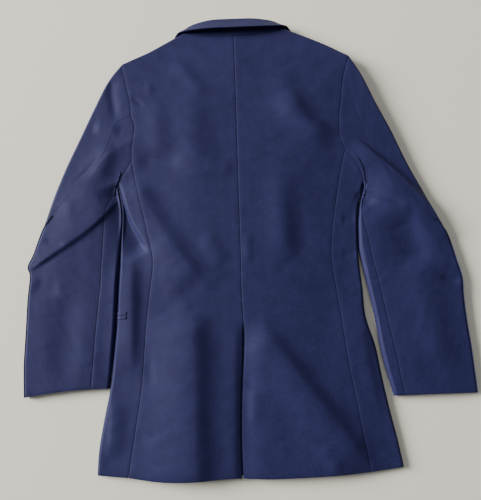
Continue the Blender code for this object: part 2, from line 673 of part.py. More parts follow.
def front_panel(side, material, collection):
    left = side < 0
    hole = armhole(side)
    seam = stretch(LEFT_FRONT_SEAM if left else RIGHT_FRONT_SEAM, even(SEAM_ROWS))
    outer_edge = joined(seam, hole["front"])
    neck = LEFT_NECK if left else RIGHT_NECK
    shoulder = LEFT_SHOULDER if left else RIGHT_SHOULDER
    point = LEFT_POINT if left else RIGHT_POINT
    top = stretch([neck, *shoulder, point], SHOULDER_STEPS)
    lap_x = FRONT_CENTRE_X - side * FRONT_LAP
    edge = np.array([(lap_x, FRONT_HEM_Y), (lap_x, BREAK_Y)])
    roll = np.array([(lap_x, BREAK_Y), neck])
    roll_rows = len(outer_edge) - 1 - CENTRE_FRONT_ROWS
    straight = edge[0] + even(CENTRE_FRONT_ROWS)[:, None] * (edge[1] - edge[0])
    sloping = roll[0] + even(roll_rows)[:, None] * (roll[1] - roll[0])
    inner_edge = joined(straight, sloping)
    hem = stretch([tuple(inner_edge[0]), tuple(seam[0])], even(len(top) - 1))
    plan = patch(inner_edge, outer_edge, hem, top)
    plan = drawn_in(plan, columns=(-1,))
    outer, normal = sheet_points(plan, False, fold_rows=(-1,), seam_rows=(-1,), side=side)
    name = "front_left" if left else "front_right"
    cloth(name, outer, normal, material, collection)
    return outer, normal


def sleeve_rows(side):
    """Sections of a sleeve between the table's, as outer point, inner point and seam shares."""
    table = LEFT_SLEEVE if side < 0 else RIGHT_SLEEVE
    curve, _ = catmull_rom(table, SLEEVE_ROWS_PER_SECTION)
    return curve


def sleeve_grid(side, sections, shares, armhole_edge, upper):
    """Plan grid of one layer of a sleeve from columns given as shares of the width."""
    count = len(sections)
    outer_point = sections[:, 0:2]
    inner_point = sections[:, 2:4]
    first = armhole_edge - (
        (1 - shares[0])[:, None] * outer_point[0] + shares[0][:, None] * inner_point[0]
    )
    grid = np.zeros((count, shares.shape[1], 2))
    cuff_bow = (LEFT_CUFF_BOW if side < 0 else RIGHT_CUFF_BOW) * np.array([0, 1])
    for j in range(count):
        t = j / (count - 1)
        s = shares[j][:, None]
        line = (1 - s) * outer_point[j] + s * inner_point[j]
        across = inner_point[j] - outer_point[j]
        down = side * np.array([-across[1], across[0]]) / np.linalg.norm(across)
        bow = SLEEVE_ROW_BOW * (1 - t) ** 2 * min(1, j) if upper else 0
        bend = bow * down + t**ARMHOLE_FADE * cuff_bow
        grid[j] = line + (1 - t) ** ARMHOLE_FADE * first + 4 * s * (1 - s) * bend
    return grid


def sleeve(side, material, collection):
    """The two pieces of a sleeve: the under sleeve shows, and the top sleeve wraps round it."""
    hole = armhole(side)
    sections = sleeve_rows(side)
    count = len(sections)
    t = np.linspace(0, 1, count)[:, None]
    over_edge = joined(hole["crown"], hole["back"], hole["side"])
    run = lengths(over_edge) / lengths(over_edge)[-1]
    crown_end = len(CROWN_STEPS) - 1
    fore_start = len(over_edge) - 1 - FORE_STRIP_STEPS
    elbow = sections[:, 4:5]
    fore = sections[:, 5:6]
    shares = np.zeros((count, len(over_edge)))
    graded = np.array(CROWN_STEPS)
    spread = smooth(t / CROWN_SPREAD)
    shares[:, : crown_end + 1] = elbow * ((1 - spread) * graded + spread * even(crown_end))
    middle = even(fore_start - crown_end)
    shares[:, crown_end : fore_start + 1] = elbow + (fore - elbow) * middle
    strip = 1 - (1 - even(FORE_STRIP_STEPS)) ** 2
    shares[:, fore_start:] = fore + (1 - fore) * strip
    settle = smooth(t / ARMHOLE_SETTLE)
    shares = (1 - settle) * run + settle * shares
    over = sleeve_grid(side, sections, shares, over_edge, True)
    under_edge = joined(hole["underarm"], hole["front"])
    under_run = 1 - lengths(under_edge) / lengths(under_edge)[-1]
    columns = len(under_edge) - 1
    under_even = 0.5 + 0.5 * np.cos(math.pi * even(columns))
    under_shares = (1 - settle) * under_run + settle * under_even
    under = sleeve_grid(side, sections, under_shares, under_edge, False)
    label = "left" if side < 0 else "right"

    panel = drawn_in(over[:, crown_end : fore_start + 1], (0,), (0, -1), SEAM_GAP)
    outer, normal = sheet_points(panel, True, side=side)
    cloth(f"sleeve_under_{label}", outer, normal, material, collection)

    crown = drawn_in(over[:, : crown_end + 1], (0,), (-1,), SEAM_GAP)
    strip_plan = drawn_in(over[:, fore_start:], (0,), (0,), SEAM_GAP)
    below = drawn_in(under, (0,), (), SEAM_GAP)
    a, a_normal = sheet_points(crown, True, fold_columns=(0,), side=side)
    b, b_normal = sheet_points(below, False, fold_columns=(0, -1), side=0)
    c, c_normal = sheet_points(strip_plan, True, fold_columns=(-1,), side=side)
    outer = np.concatenate([c, b[:, 1:], a[:, 1:]], axis=1)
    normal = np.concatenate([c_normal, b_normal[:, 1:], a_normal[:, 1:]], axis=1)
    cloth(f"sleeve_top_{label}", outer, normal, material, collection)


def lapel(side, material, collection):
    """A turned lapel, flat under its front."""
    rows = LAPEL[LEFT_LAPEL_FIRST:] if side < 0 else LAPEL
    plan = []
    for y, edge_x, edge_y in rows:
        inner_point = np.array([roll_x(y), y])
        edge_point = np.array([edge_x, edge_y])
        plan.append(inner_point + even(LAPEL_STEPS)[:, None] * (edge_point - inner_point))
    plan = np.array(plan)
    if side > 0:
        plan = np.dstack(mirrored(plan[..., 0], plan[..., 1]))
    level = np.zeros(plan.shape[:2] + (1,))
    name = "lapel_left" if side < 0 else "lapel_right"
    bottom = np.dstack([plan, level])
    top = np.dstack([plan, level + LAPEL_THICKNESS])
    return wall(name, bottom, top, material, collection)


def collar(material, collection):
    """Stand and fall as one folded band, from the right gorge round the neck to the left one."""
    left = np.array(COLLAR, float)
    right = left[1:].copy()
    for k in (0, 3, 6):
        right[:, k], right[:, k + 1] = mirrored(right[:, k], right[:, k + 1])
    table = np.vstack([left[::-1], right])
    stations, _ = catmull_rom(table, COLLAR_STEPS_PER_SECTION)
    angle = np.linspace(0, math.pi, COLLAR_SECTION_STEPS + 1)
    rows = []
    for row in stations:
        seam, roll, edge = row[0:3], row[3:6], row[6:9]
        stand = seam + STAND_SHARE * (roll - seam)
        fall = roll + FALL_SHARE * (edge - roll)
        section, _ = catmull_rom((seam, stand, roll, fall, edge), 6)
        along = lengths(section)
        at = along[-1] * (0.5 - 0.5 * np.cos(angle) + angle / math.pi) / 2
        rows.append(np.stack([np.interp(at, along, section[:, k]) for k in range(3)], axis=1))
    middle = np.array(rows)
    middle[..., 2] = np.maximum(middle[..., 2], COLLAR_WALL / 2 + COLLAR_CLEAR)
    run = np.gradient(middle, axis=0)
    across = np.gradient(middle, axis=1)
    normal = np.cross(run, across)
    normal /= np.linalg.norm(normal, axis=2)[..., None]
    half = COLLAR_WALL / 2
    return wall("collar", middle + normal * half, middle - normal * half, material, collection)


def vent_underlap(material, collection):
    """The strip behind the vent, hanging from inside the right half of the back."""
    x0, x1, y0, y1 = UNDERLAP
    xs = np.linspace(x0, x1, 5)
    ys = np.linspace(y0, y1, 11)
    plan = np.dstack(np.meshgrid(xs, ys))
    outer, normal = sheet_points(plan, True)
    start = WALL + UNDERLAP_GAP
    return cloth("vent_underlap", outer, normal, material, collection, UNDERLAP_WALL, start)


def across_at(y, outer, normal):
    """Where each column of a panel's grid is at this height above the hem."""
    both = np.concatenate([outer, normal], axis=2)
    columns = both.swapaxes(0, 1)
    return np.array([[np.interp(y, one[:, 1], one[:, k]) for k in range(6)] for one in columns])


def pocket_jet(side, upper, side_points, front_points, material, collection):
    """One jet of a pocket, laid on the points of the side and front panels, round the fold."""
    left = side < 0
    reach = LEFT_POCKET_REACH if left else RIGHT_POCKET_REACH
    end = LEFT_POCKET_END if left else RIGHT_POCKET_END
    low = POCKET_Y + SEAM_GAP if upper else POCKET_Y - SEAM_GAP - JET_WIDTH
    fold_column = len(ARMHOLE_SIDE_STEPS) - 1
    rows = []
    for y in low + np.array(JET_STEPS) * JET_WIDTH:
        on_side = across_at(y, *side_points)
        on_front = across_at(y, *front_points)[::-1]
        line = np.vstack([on_side, on_front])
        inward_x = side * (line[fold_column, 0] - line[:, 0])
        inward_x[:fold_column] *= -1
        between = (inward_x > JET_MARGIN - end) & (inward_x < reach - JET_MARGIN)
        at = np.sort(np.append(inward_x[between], [-end, reach]))
        rows.append(np.stack([np.interp(at, inward_x, line[:, k]) for k in range(6)], axis=1))
    grid = np.array(rows)
    normal = grid[..., 3:] / np.linalg.norm(grid[..., 3:], axis=2)[..., None]
    label = ("left" if left else "right") + ("_upper" if upper else "_lower")
    start = -(SEAM_GAP + JET_WALL)
    return cloth(f"pocket_{label}", grid[..., :3], normal, material, collection, JET_WALL, start)


def button(name, y, material, collection):
    mesh = bmesh.new()
    bmesh.ops.create_cone(
        mesh,
        cap_ends=True,
        segments=BUTTON_SIDES,
        radius1=BUTTON_RADIUS * MM,
        radius2=BUTTON_RADIUS * MM,
        depth=BUTTON_THICKNESS * MM,
    )
    piece = finish(name, mesh, material, collection)
    x = FRONT_CENTRE_X - CENTRE[0]
    piece.location = (x * MM, (y - CENTRE[1]) * MM, BUTTON_THICKNESS * MM / 2)
    return piece


# Scene

def plain_material(name, colour, roughness):
    material = bpy.data.materials.new(name)
    material.use_nodes = True
    shader = material.node_tree.nodes["Principled BSDF"]
    shader.inputs["Base Color"].default_value = colour
    shader.inputs["Roughness"].default_value = roughness
    return material


def main():
    for item in list(bpy.data.objects):
        bpy.data.objects.remove(item, do_unlink=True)
    collection = bpy.data.collections.new("uniform_jacket")
    bpy.context.scene.collection.children.link(collection)
    navy = plain_material("navy_cloth", CLOTH_COLOUR, 0.75)
    horn = plain_material("dark_button", BUTTON_COLOUR, 0.35)
    for side in (-1, 1):
        back_panel(side, navy, collection)
        side_points = side_panel(side, navy, collection)
        front_points = front_panel(side, navy, collection)
        sleeve(side, navy, collection)
        lapel(side, navy, collection)
        for upper in (True, False):
            pocket_jet(side, upper, side_points, front_points, navy, collection)
    collar(navy, collection)
    vent_underlap(navy, collection)
    for name, y in BUTTONS:
        button(name, y, horn, collection)


main()
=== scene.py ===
"""Flight attendant uniform jacket, lying flat on its front: its visible cloth, buttons and stage.

Every panel is a grid laid out in plan between its seams, in millimetres, x to the wearer's right and
y from the centre of the hem to the collar. Its height comes from one surface for the upper layer and
one for the lower. Creases, seam grooves and pressed edges are added to that surface.
"""

import math
from types import SimpleNamespace

import bpy
import numpy as np
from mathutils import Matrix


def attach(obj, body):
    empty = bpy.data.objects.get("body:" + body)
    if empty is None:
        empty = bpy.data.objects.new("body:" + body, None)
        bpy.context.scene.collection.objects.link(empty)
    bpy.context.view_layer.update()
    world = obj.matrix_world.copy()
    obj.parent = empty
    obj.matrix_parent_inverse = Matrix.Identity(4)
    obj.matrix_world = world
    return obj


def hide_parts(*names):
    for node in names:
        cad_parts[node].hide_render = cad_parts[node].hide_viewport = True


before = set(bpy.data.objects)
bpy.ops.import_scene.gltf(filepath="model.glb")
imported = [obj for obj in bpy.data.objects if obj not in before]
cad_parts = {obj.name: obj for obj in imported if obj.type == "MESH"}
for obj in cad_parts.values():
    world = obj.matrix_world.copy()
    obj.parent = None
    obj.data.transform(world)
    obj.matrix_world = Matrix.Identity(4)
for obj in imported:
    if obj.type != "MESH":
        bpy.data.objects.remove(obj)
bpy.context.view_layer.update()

bl_info = {
    "name": "Uniform jacket",
    "version": (1, 0, 0),
    "blender": (4, 5, 0),
    "location": "3D View > Sidebar > Jacket",
    "description": "Builds a uniform jacket that lies flat on its front",
    "category": "Add Mesh",
}

MM = 0.001
CENTRE = (16.0, 391.7)
SEAM_GAP = 0.24
EDGE_BEVEL = 0.25
BEVEL_ANGLE = 60.0
SMOOTH_ANGLE = 50.0

# How far in plan the side folds' rounding reaches, over and under their widest line
FOLD_OVER = 5.5
FOLD_UNDER = 9.0

# How far in from the outline the swell rises, and the sleeves' own smaller swell, which takes over
# between these shares of their length
DOME_REACH = 150.0
SLEEVE_DOME_REACH = 55.0
SLEEVE_DOME_SHARE = 0.3
SLEEVE_DOME_ROWS = (0.05, 0.35)

# Grid steps: coarse shares along each stretch, and how many times each is divided
SEAM_ROWS = 18
CENTRE_FRONT_ROWS = 14
SHOULDER_STEPS = (0.0, 0.18, 0.36, 0.54, 0.72, 0.9, 1.0)
NECK_STEPS = (0.0, 0.32, 0.62, 0.85, 1.0)
BACK_HEM_STEPS = (0.0, 0.075, 0.18, 0.29, 0.40, 0.51, 0.62, 0.74, 0.87, 0.95, 1.0)
CROWN_STEPS = (0.0, 0.02, 0.09, 0.27, 0.5, 0.75, 1.0)
ARMHOLE_BACK_STEPS = (0.0, 0.2, 0.4, 0.6, 0.8, 1.0)
ARMHOLE_SIDE_STEPS = (0.0, 0.28, 0.56, 0.82, 0.91, 0.97, 1.0)
UNDERARM_STEPS = (0.0, 0.08, 0.4, 1.0)
ARMHOLE_FRONT_STEPS = (0.0, 0.22, 0.46, 0.7, 0.9, 0.97, 1.0)
FORE_STRIP_STEPS = 3
FINE_OVER = 7
CURVE_STEPS = 12
CREASE_STEPS = 8
CREASE_REACH = 3
SLEEVE_ROWS_PER_SECTION = 18
POINTS_AT_ONCE = 3000

# Thickness of the lying jacket at heights above the hem: along its folds, and at its fullest
THICKNESS = (
    # y, at the folds, at the fullest
    (-10, 9.0, 16.5),
    (120, 10.0, 18.0),
    (300, 12.0, 20.0),
    (500, 15.0, 24.0),
    (640, 20.0, 27.0),
    (710, 22.0, 27.0),
    (770, 17.0, 18.0),
)

# Lines of the body that run up from the hem
BODY_LINES = (
    # y, left fold, left back seam, centre, right back seam, right fold
    (50, -228.1, -173.4, -0.6, 196.4, 250.4),
    (100, -219.8, -165.6, 0.4, 188.6, 240.3),
    (150, -210.3, -158.7, 3.1, 180.8, 231.5),
    (200, -206.0, -155.1, 6.2, 174.1, 223.9),
    (250, -201.8, -151.4, 7.4, 169.0, 210.7),
    (300, -200.0, -146.2, 5.8, 163.0, 208.2),
    (350, -197.2, -141.0, 6.1, 158.3, 204.8),
    (400, -194.7, -150.6, 5.9, 162.6, 205.9),
)
CENTRE_HEM = (0.2, -0.2)
CENTRE_TOP = ((5.3, 480.0), (5.1, 522.0), (4.8, 650.0), (4.2, 710.0))
CENTRE_NECK = (3.6, 753.0)
VENT_TOP = 246.0
VENT_WIDTHS = ((-10.0, 2.6), (100.0, 2.4), (180.0, 3.6), (225.0, 4.6), (VENT_TOP, SEAM_GAP))
FRONT_SEAM_INSET = 12.0

# The outline of each side: hem, seams, neck, shoulder and armhole, and the sections of its sleeve
LEFT = SimpleNamespace(
    name="left",
    sign=-1,
    fold_column=1,
    seam_column=2,
    fold_hem=(-230.7, 9.5),
    fold_top=((-193.6, 425.0), (-194.5, 443.0), (-197.3, 460.0)),
    underarm=(-200.5, 476.0),
    seam_hem=(-180.5, 4.9),
    seam_top=((-160.8, 446.2), (-171.2, 490.5)),
    seam_end=(-177.6, 527.5),
    back_hem=((-21.3, 0.2), (-75.8, -2.2), (-130.0, -1.9)),
    neck=(-90.0, 762.0),
    back_neck=((-56.0, 755.5), (-26.0, 753.4)),
    shoulder=((-123.7, 741.9), (-148.8, 727.0), (-179.2, 712.4)),
    shoulder_point=(-196.5, 704.5),
    crown=((-187.1, 662.0), (-179.9, 628.3)),
    elbow_top=(-178.0, 605.2),
    armhole_back=((-172.3, 588.6), (-173.9, 565.8), (-177.0, 548.0)),
    armhole_side=((-183.4, 514.4), (-192.9, 499.6), (-199.0, 486.0)),
    under_turn=(-196.8, 491.0),
    front_corner=(-179.0, 515.0),
    armhole_front=((-165.0, 548.0), (-162.0, 600.0), (-173.0, 655.0)),
    pocket_end=17.0,
    pocket_reach=108.0,
    first_lapel_row=2,
    cuff_bow=3.5,
    sleeve=(
        # outer edge x, y, inner edge x, y, elbow seam and fore seam as shares of the width
        (-196.5, 704.5, -200.5, 476.0, 0.42, 0.95),
        (-221.0, 672.0, -200.6, 474.4, 0.46, 0.94),
        (-246.0, 620.0, -200.4, 470.5, 0.50, 0.92),
        (-270.0, 566.0, -198.0, 459.0, 0.41, 0.88),
        (-291.5, 518.0, -195.2, 442.0, 0.28, 0.81),
        (-310.0, 470.0, -194.4, 421.0, 0.16, 0.76),
        (-328.0, 413.0, -195.5, 398.0, 0.012, 0.78),
        (-343.0, 368.0, -197.2, 364.0, 0.012, 0.80),
        (-352.4, 346.0, -198.7, 336.0, 0.012, 0.81),
        (-348.0, 330.0, -199.9, 316.0, 0.012, 0.81),
        (-350.5, 291.0, -201.2, 285.0, 0.012, 0.80),
        (-351.7, 235.0, -203.5, 236.0, 0.012, 0.785),
        (-353.0, 183.0, -207.6, 188.0, 0.012, 0.785),
        (-351.0, 132.1, -212.4, 143.1, 0.012, 0.785),
    ),
)
RIGHT = SimpleNamespace(
    name="right",
    sign=1,
    fold_column=5,
    seam_column=4,
    fold_hem=(257.0, 10.2),
    fold_top=((207.5, 421.0), (211.0, 441.0), (216.2, 458.0)),
    underarm=(219.5, 474.0),
    seam_hem=(203.5, 4.0),
    seam_top=((170.3, 443.0), (181.1, 497.3)),
    seam_end=(190.9, 535.7),
    back_hem=((27.1, -1.4), (61.4, -2.0), (147.1, 0.4)),
    neck=(93.5, 769.3),
    back_neck=((59.8, 758.0), (33.0, 754.2)),
    shoulder=((134.2, 750.8), (167.7, 734.3), (195.6, 718.0)),
    shoulder_point=(208.2, 711.0),
    crown=((198.0, 682.0), (192.1, 655.0)),
    elbow_top=(188.6, 629.0),
    armhole_back=((184.1, 599.7), (182.3, 577.0), (183.0, 558.0)),
    armhole_side=((198.7, 526.5), (209.5, 511.0), (217.8, 490.0)),
    under_turn=(215.6, 490.0),
    front_corner=(191.0, 518.0),
    armhole_front=((175.0, 552.0), (172.5, 604.0), (184.0, 660.0)),
    pocket_end=-4.0,
    pocket_reach=126.0,
    first_lapel_row=0,
    cuff_bow=0.5,
    sleeve=(
        # outer edge x, y, inner edge x, y, elbow seam and fore seam as shares of the width
        (208.2, 711.0, 219.5, 474.0, 0.36, 0.95),
        (229.0, 675.0, 219.8, 472.4, 0.42, 0.95),
        (250.0, 625.0, 219.6, 468.5, 0.47, 0.94),
        (275.0, 570.0, 216.0, 455.0, 0.41, 0.94),
        (298.0, 513.0, 210.2, 434.0, 0.28, 0.94),
        (320.0, 466.0, 207.0, 411.0, 0.17, 0.93),
        (341.5, 421.0, 206.0, 388.0, 0.10, 0.895),
        (357.5, 386.0, 205.6, 364.0, 0.012, 0.88),
        (371.3, 336.0, 209.4, 338.0, 0.012, 0.88),
        (377.2, 308.8, 215.2, 307.0, 0.012, 0.877),
        (376.4, 281.9, 219.5, 283.7, 0.012, 0.875),
        (377.7, 242.0, 226.6, 240.0, 0.012, 0.869),
        (381.8, 189.5, 233.6, 185.0, 0.012, 0.85),
        (385.0, 121.5, 248.6, 120.0, 0.012, 0.877),
    ),
)
SLEEVE_ROW_BOW = 14.0
SLEEVE_BOW_RAMP = 26
ARMHOLE_FADE = 4
SIDE_FADE = 3
CROWN_SPREAD = 0.45
ARMHOLE_SETTLE = 0.12

# Large folds and hollows of the upper layer, and the share of their length over which they fade
FOLD_FADE = 0.18
FOLDS = (
    # start x, y, middle x, y, end x, y, height, width to the left of the path, width to its right
    (-194, 468, -247, 409, -354, 336, 3.6, 3.5, 46),
    (-203, 490, -184, 424, -151, 362, -9.0, 3.5, 26),
    (204, 556, 283, 484, 378, 374, 5.0, 6, 34),
    (8, 256, 4, 160, 0, -40, -4.0, 20, 9),
    (-140, 388, -95, 345, -35, 296, 1.5, 22, 20),
    (84, 530, 98, 440, 112, 330, -1.5, 22, 20),
    (300, 350, 312, 260, 322, 160, 3.0, 28, 26),
    (-177, 498, -145, 432, -62, 305, 5.5, 18, 50),
    (-78, 280, -75, 130, -75, -40, 9.0, 24, 62),
    (18, 252, 84, 165, 205, 5, 7.5, 18, 42),
    (204, 450, 229, 255, 256, 100, 2.2, 60, 5),
)

# Smaller creases of the upper layer
CREASE_FADE = 0.32
CREASES = (
    # start x, y, middle x, y, end x, y, height, width to the left of the path, width to its right
    (-213, 688, -212, 637, -202, 590, -2.4, 9, 8),
    (-247, 588, -221, 583, -195, 577, 2.6, 12, 11),
    (-229, 536, -253, 510, -281, 483, -0.8, 5, 5),
    (-210, 561, -224, 525, -237, 486, 3.4, 15, 18),
    (-283, 466, -284, 445, -285, 422, 1.2, 11, 14),
    (-328, 391, -307, 385, -287, 381, -1.4, 5, 5),
    (-343, 319, -319, 308, -293, 312, -2.0, 13, 13),
    (-286, 325, -284, 231, -286, 125, -3.0, 24, 28),
    (-180, 375, -178, 261, -178, 150, 6.5, 14, 32),
    (196, 300, 205, 180, 222, 60, 3.0, 14, 45),
    (-151, 190, -146, 168, -143, 144, -1.0, 9, 9),
    (-204, 138, -205, 82, -209, 30, 3.0, 18, 10),
    (-173, 69, -150, 66, -130, 67, -0.8, 9, 9),
    (-180, 641, -168, 631, -156, 620, -1.2, 4, 4),
    (-147, 667, -146, 654, -145, 641, 1.3, 7, 7),
    (-135, 640, -131, 582, -126, 520, 1.7, 18, 18),
    (-105, 708, -71, 668, -44, 634, 2.4, 13, 15),
    (-67, 665, -71, 561, -57, 465, 3.4, 26, 28),
    (-60, 513, -25, 506, 2, 503, 1.8, 16, 12),
    (-172, 525, -128, 524, -87, 521, -2.4, 13, 15),
    (-58, 396, -38, 368, -19, 337, 1.9, 13, 16),
    (-120, 309, -97, 285, -75, 260, 1.4, 13, 16),
    (87, 695, 89, 627, 105, 560, 2.6, 22, 24),
    (89, 652, 125, 586, 179, 553, 6.0, 17, 24),
    (88, 527, 81, 430, 82, 331, 3.6, 22, 26),
    (19, 397, 18, 367, 19, 335, 1.4, 8, 8),
    (20, 142, 21, 108, 21, 74, 1.8, 14, 9),
    (120, 47, 138, 25, 160, 1, 2.0, 12, 12),
    (177, 415, 191, 413, 204, 416, -1.3, 9, 9),
    (174, 353, 189, 353, 204, 354, -1.2, 8, 8),
    (214, 466, 262, 448, 340, 388, 5.5, 28, 20),
    (216, 462, 254, 449, 292, 431, -2.6, 5, 6),
    (210, 464, 219, 449, 228, 432, -3.2, 13, 13),
    (282, 436, 297, 383, 312, 322, -6.0, 20, 40),
    (335, 313, 353, 307, 374, 303, -1.8, 6, 6),
)

# Slow unevenness of pressed cloth: direction in degrees, wavelength, height and start of each wave
RIPPLES = (
    (20.0, 61.0, 0.08, 0.3),
    (75.0, 47.0, 0.06, 1.9),
    (128.0, 35.0, 0.05, 4.1),
    (160.0, 83.0, 0.12, 2.7),
    (50.0, 24.0, 0.03, 5.2),
)
RIPPLE_SWAY = 9.0

# Seam grooves, the ridge of the seam allowance beside them, and pressed edges
GROOVE_DEPTH = 0.3
SHALLOW_SHARE = 0.3
LOWER_SHARE = 0.4
GROOVE_WIDTH = 1.0
RIDGE_HEIGHT = 0.08
RIDGE_AWAY = 7.0
RIDGE_WIDTH = 2.6
EDGE_DROP = 0.6
EDGE_WIDTH = 2.4
HEM_TURN = 36.0
HEM_LINE_DEPTH = 0.14
HEM_LINE_WIDTH = 2.2

# Centre front, neck opening and what lies folded under the fronts
CAD_WALL = 2.0
FRONT_CENTRE_X = 1.75
FRONT_LAP = 20.0
FRONT_HEM_Y = 3.0
BREAK_Y = 472.0
NECK_TILT = 7.3
NECK_FOOT_Y = 740.0
HALF_NECK = 91.75
UNDER_LIFT = 2.7
LAP_LIFT = UNDER_LIFT + CAD_WALL + 0.3
LAP_TIP = 56.0
LAP_TIP_START = 4.0
LIFT_MARGIN = 24.0
LIFT_RAMP = 16.0
STAND_LOW = -40.0
LAPEL_THICKNESS = 2.1
LAPEL = (
    # y on the roll line, outer edge x, y
    (480.0, 12.0, 477.0),
    (505.0, -22.0, 497.0),
    (532.0, -50.0, 525.0),
    (562.0, -74.0, 560.0),
    (595.0, -94.0, 598.0),
    (628.0, -108.0, 635.0),
    (661.0, -113.0, 655.0),
)
LAPEL_COLUMNS = 24
LAPEL_ROWS_PER_SECTION = 8
FALL_UNDER = ((-104.0, 700.0), (-112.0, 750.0))
COLLAR_WALL = 1.7
COLLAR_CLEAR = 0.05
STAND_SHARE = 0.65
FALL_SHARE = 0.25
COLLAR = (
    # seam x, y, z, roll line x, y, z, free edge x, y, z, from the centre back round to the left gorge
    (1.75, 753.5, 18.8, 1.75, 786.0, 18.5, 1.75, 761.0, 34.5),
    (-32.0, 754.1, 18.1, -36.0, 785.0, 18.0, -34.0, 761.0, 33.5),
    (-60.0, 756.4, 17.4, -66.0, 778.5, 16.5, -66.0, 761.0, 29.5),
    (-79.0, 760.1, 15.6, -80.0, 772.5, 14.0, -86.0, 762.0, 23.0),
    (-88.0, 763.6, 9.2, -85.0, 771.0, 7.5, -98.0, 763.0, 12.0),
    (-85.6, 757.0, 3.4, -79.0, 759.0, 1.2, -107.0, 748.0, 1.0),
    (-68.2, 711.0, 3.4, -62.0, 713.0, 1.2, -104.0, 700.0, 1.0),
    (-53.2, 672.0, 3.4, -47.0, 673.0, 1.2, -92.0, 664.0, 1.0),
)
COLLAR_STEPS_PER_SECTION = 12
COLLAR_COLUMNS = 40

# Vent underlap, pockets and buttons
UNDERLAP = (-16.0, 26.0, 5.0, 256.0)
UNDERLAP_COLUMNS = 22
UNDERLAP_ROWS = 84
UNDERLAP_WALL = 1.4
UNDERLAP_DEPTH = 3.4
POCKET_Y = 260.0
JET_WIDTH = 5.4
HALF_MOUTH = 0.55
JET_WALL = 1.1
JET_STAND = 0.83
JET_ROUND = 0.35
JET_MARGIN = 1.0
JET_ROWS = 7
LEAST_JET_COLUMNS = 40
POCKET_LIFT = JET_WALL + 0.6
BUTTONS = (("button_top", 440.0), ("button_middle", 345.0), ("button_lower", 250.0))
BUTTON_DISH_RADIUS = 6.4
BUTTON_DISH_DEPTH = 0.5
BUTTON_HOLE_AWAY = 1.9
BUTTON_HOLE_RADIUS = 0.95
BUTTON_HOLES = 4
BUTTON_SIDES = 64
BUTTON_DISH_SIDES = 48
BUTTON_HOLE_SIDES = 20
BUTTON_EDGE = 0.6
BUTTON_SMOOTH_ANGLE = 35.0

# Twill: the lean of its ribs, its threads, and how much they count in the tone and in the relief
RIB_LEAN = 1.2
THREAD_PITCH_SHARE = 0.55
RIB_WEIGHT = 0.5
THREAD_WEIGHT = 0.25
WEAVE_TONE = 0.22
WEAVE_RELIEF = 0.5
UNEVENNESS = {
    # noise scale, detail, roughness, part in the tone, part in the relief
    "slub": (900.0, 2.0, 0.6, 0.5, 0.9),
    "nap": (240.0, 3.0, 0.6, 0.9, 0.8),
    "dye": (38.0, 3.0, 0.55, 0.8, 0.0),
}
RELIEF_STRENGTH = 0.35
RELIEF_DEPTH = 0.00022
CLOTH_ROUGHNESS = 0.6
NAP_ROUGHNESS = 0.12
CLOTH_SPECULAR = 0.2
SHEEN_WEIGHT = 0.03
SHEEN_ROUGHNESS = 0.45
SHEEN_TINT = (0.6, 0.65, 1.0, 1.0)

# Button finish
BUTTON_LIGHT = (0.02, 0.026, 0.06, 1.0)
BUTTON_CLOUD_SCALE = 260.0
BUTTON_CLOUD_RANGE = (0.3, 0.7)
BUTTON_ROUGHNESS = 0.34
BUTTON_ROUGHNESS_SPREAD = 0.1

# Camera, floor and light
CAMERA_PLACE = (-0.0145, -0.19605, 0.97496)
CAMERA_TURN = (10.0, 0.0, -1.5)
CAMERA_LENS = 41.8
FLOOR_SIZE = 6.0
FLOOR_ROUGHNESS = 0.9
LAMPS = (
    # name, place x, y, z, size, power
    ("window_light", -7.75, 1.9, 3.4, 4.4, 1720.0),
    ("top_light", -0.4, 2.6, 2.6, 2.4, 20.0),
)
ROOM_LIGHT = 0.2
ROOM_COLOUR = (0.86, 0.92, 1.0, 1.0)


# Curves and their stations

def catmull_rom(points, steps=CURVE_STEPS):
    """Dense smooth curve through the points, and the index there of each given point."""
    p = np.array(points, float)
    p = np.vstack([2 * p[0] - p[1], p, 2 * p[-1] - p[-2]])
    t = np.linspace(0, 1, steps, endpoint=False)[:, None]
    out = []
    for a, b, c, d in zip(p[:-3], p[1:-2], p[2:-1], p[3:]):
        bend = (2 * b) + (c - a) * t + (2 * a - 5 * b + 4 * c - d) * t**2
        out.append(0.5 * (bend + (3 * b - a - 3 * c + d) * t**3))
    out.append(p[-2][None])
    return np.vstack(out), np.arange(len(points)) * steps


def lengths(curve):
    return np.concatenate([[0], np.cumsum(np.linalg.norm(np.diff(curve, axis=0), axis=1))])


def stretch(points, fractions, first=0, last=-1):
    """Points at shares of the length between two of the curve's given points."""
    curve, index = catmull_rom(points)
    part = curve[index[first] : index[last] + 1]
    along = lengths(part)
    at = np.array(fractions) * along[-1]
    return np.stack([np.interp(at, along, part[:, k]) for k in range(part.shape[1])], axis=1)


def even(count):
    return np.linspace(0, 1, count + 1)


def finer(steps):
    """The same stretch of shares with each step divided finely."""
    at = np.arange((len(steps) - 1) * FINE_OVER + 1) / FINE_OVER
    return np.interp(at, np.arange(len(steps)), steps)


def mirrored(x, y):
    """The right side's point for one of the left side's, whose neck end lies lower."""
    around_neck = ((FRONT_CENTRE_X - x) / HALF_NECK) ** 2
    along_roll = (FRONT_CENTRE_X + FRONT_LAP - x) / (HALF_NECK + FRONT_LAP)
    tilt = NECK_TILT * np.where(y > NECK_FOOT_Y, around_neck, along_roll)
    return 2 * FRONT_CENTRE_X - x, y + tilt


def body_line(column, hem, tops, end, inset=0.0):
    rows = [(row[column] + inset, row[0]) for row in BODY_LINES]
    return [(hem[0] + inset, hem[1])] + rows + [(x + inset, y) for x, y in tops] + [end]


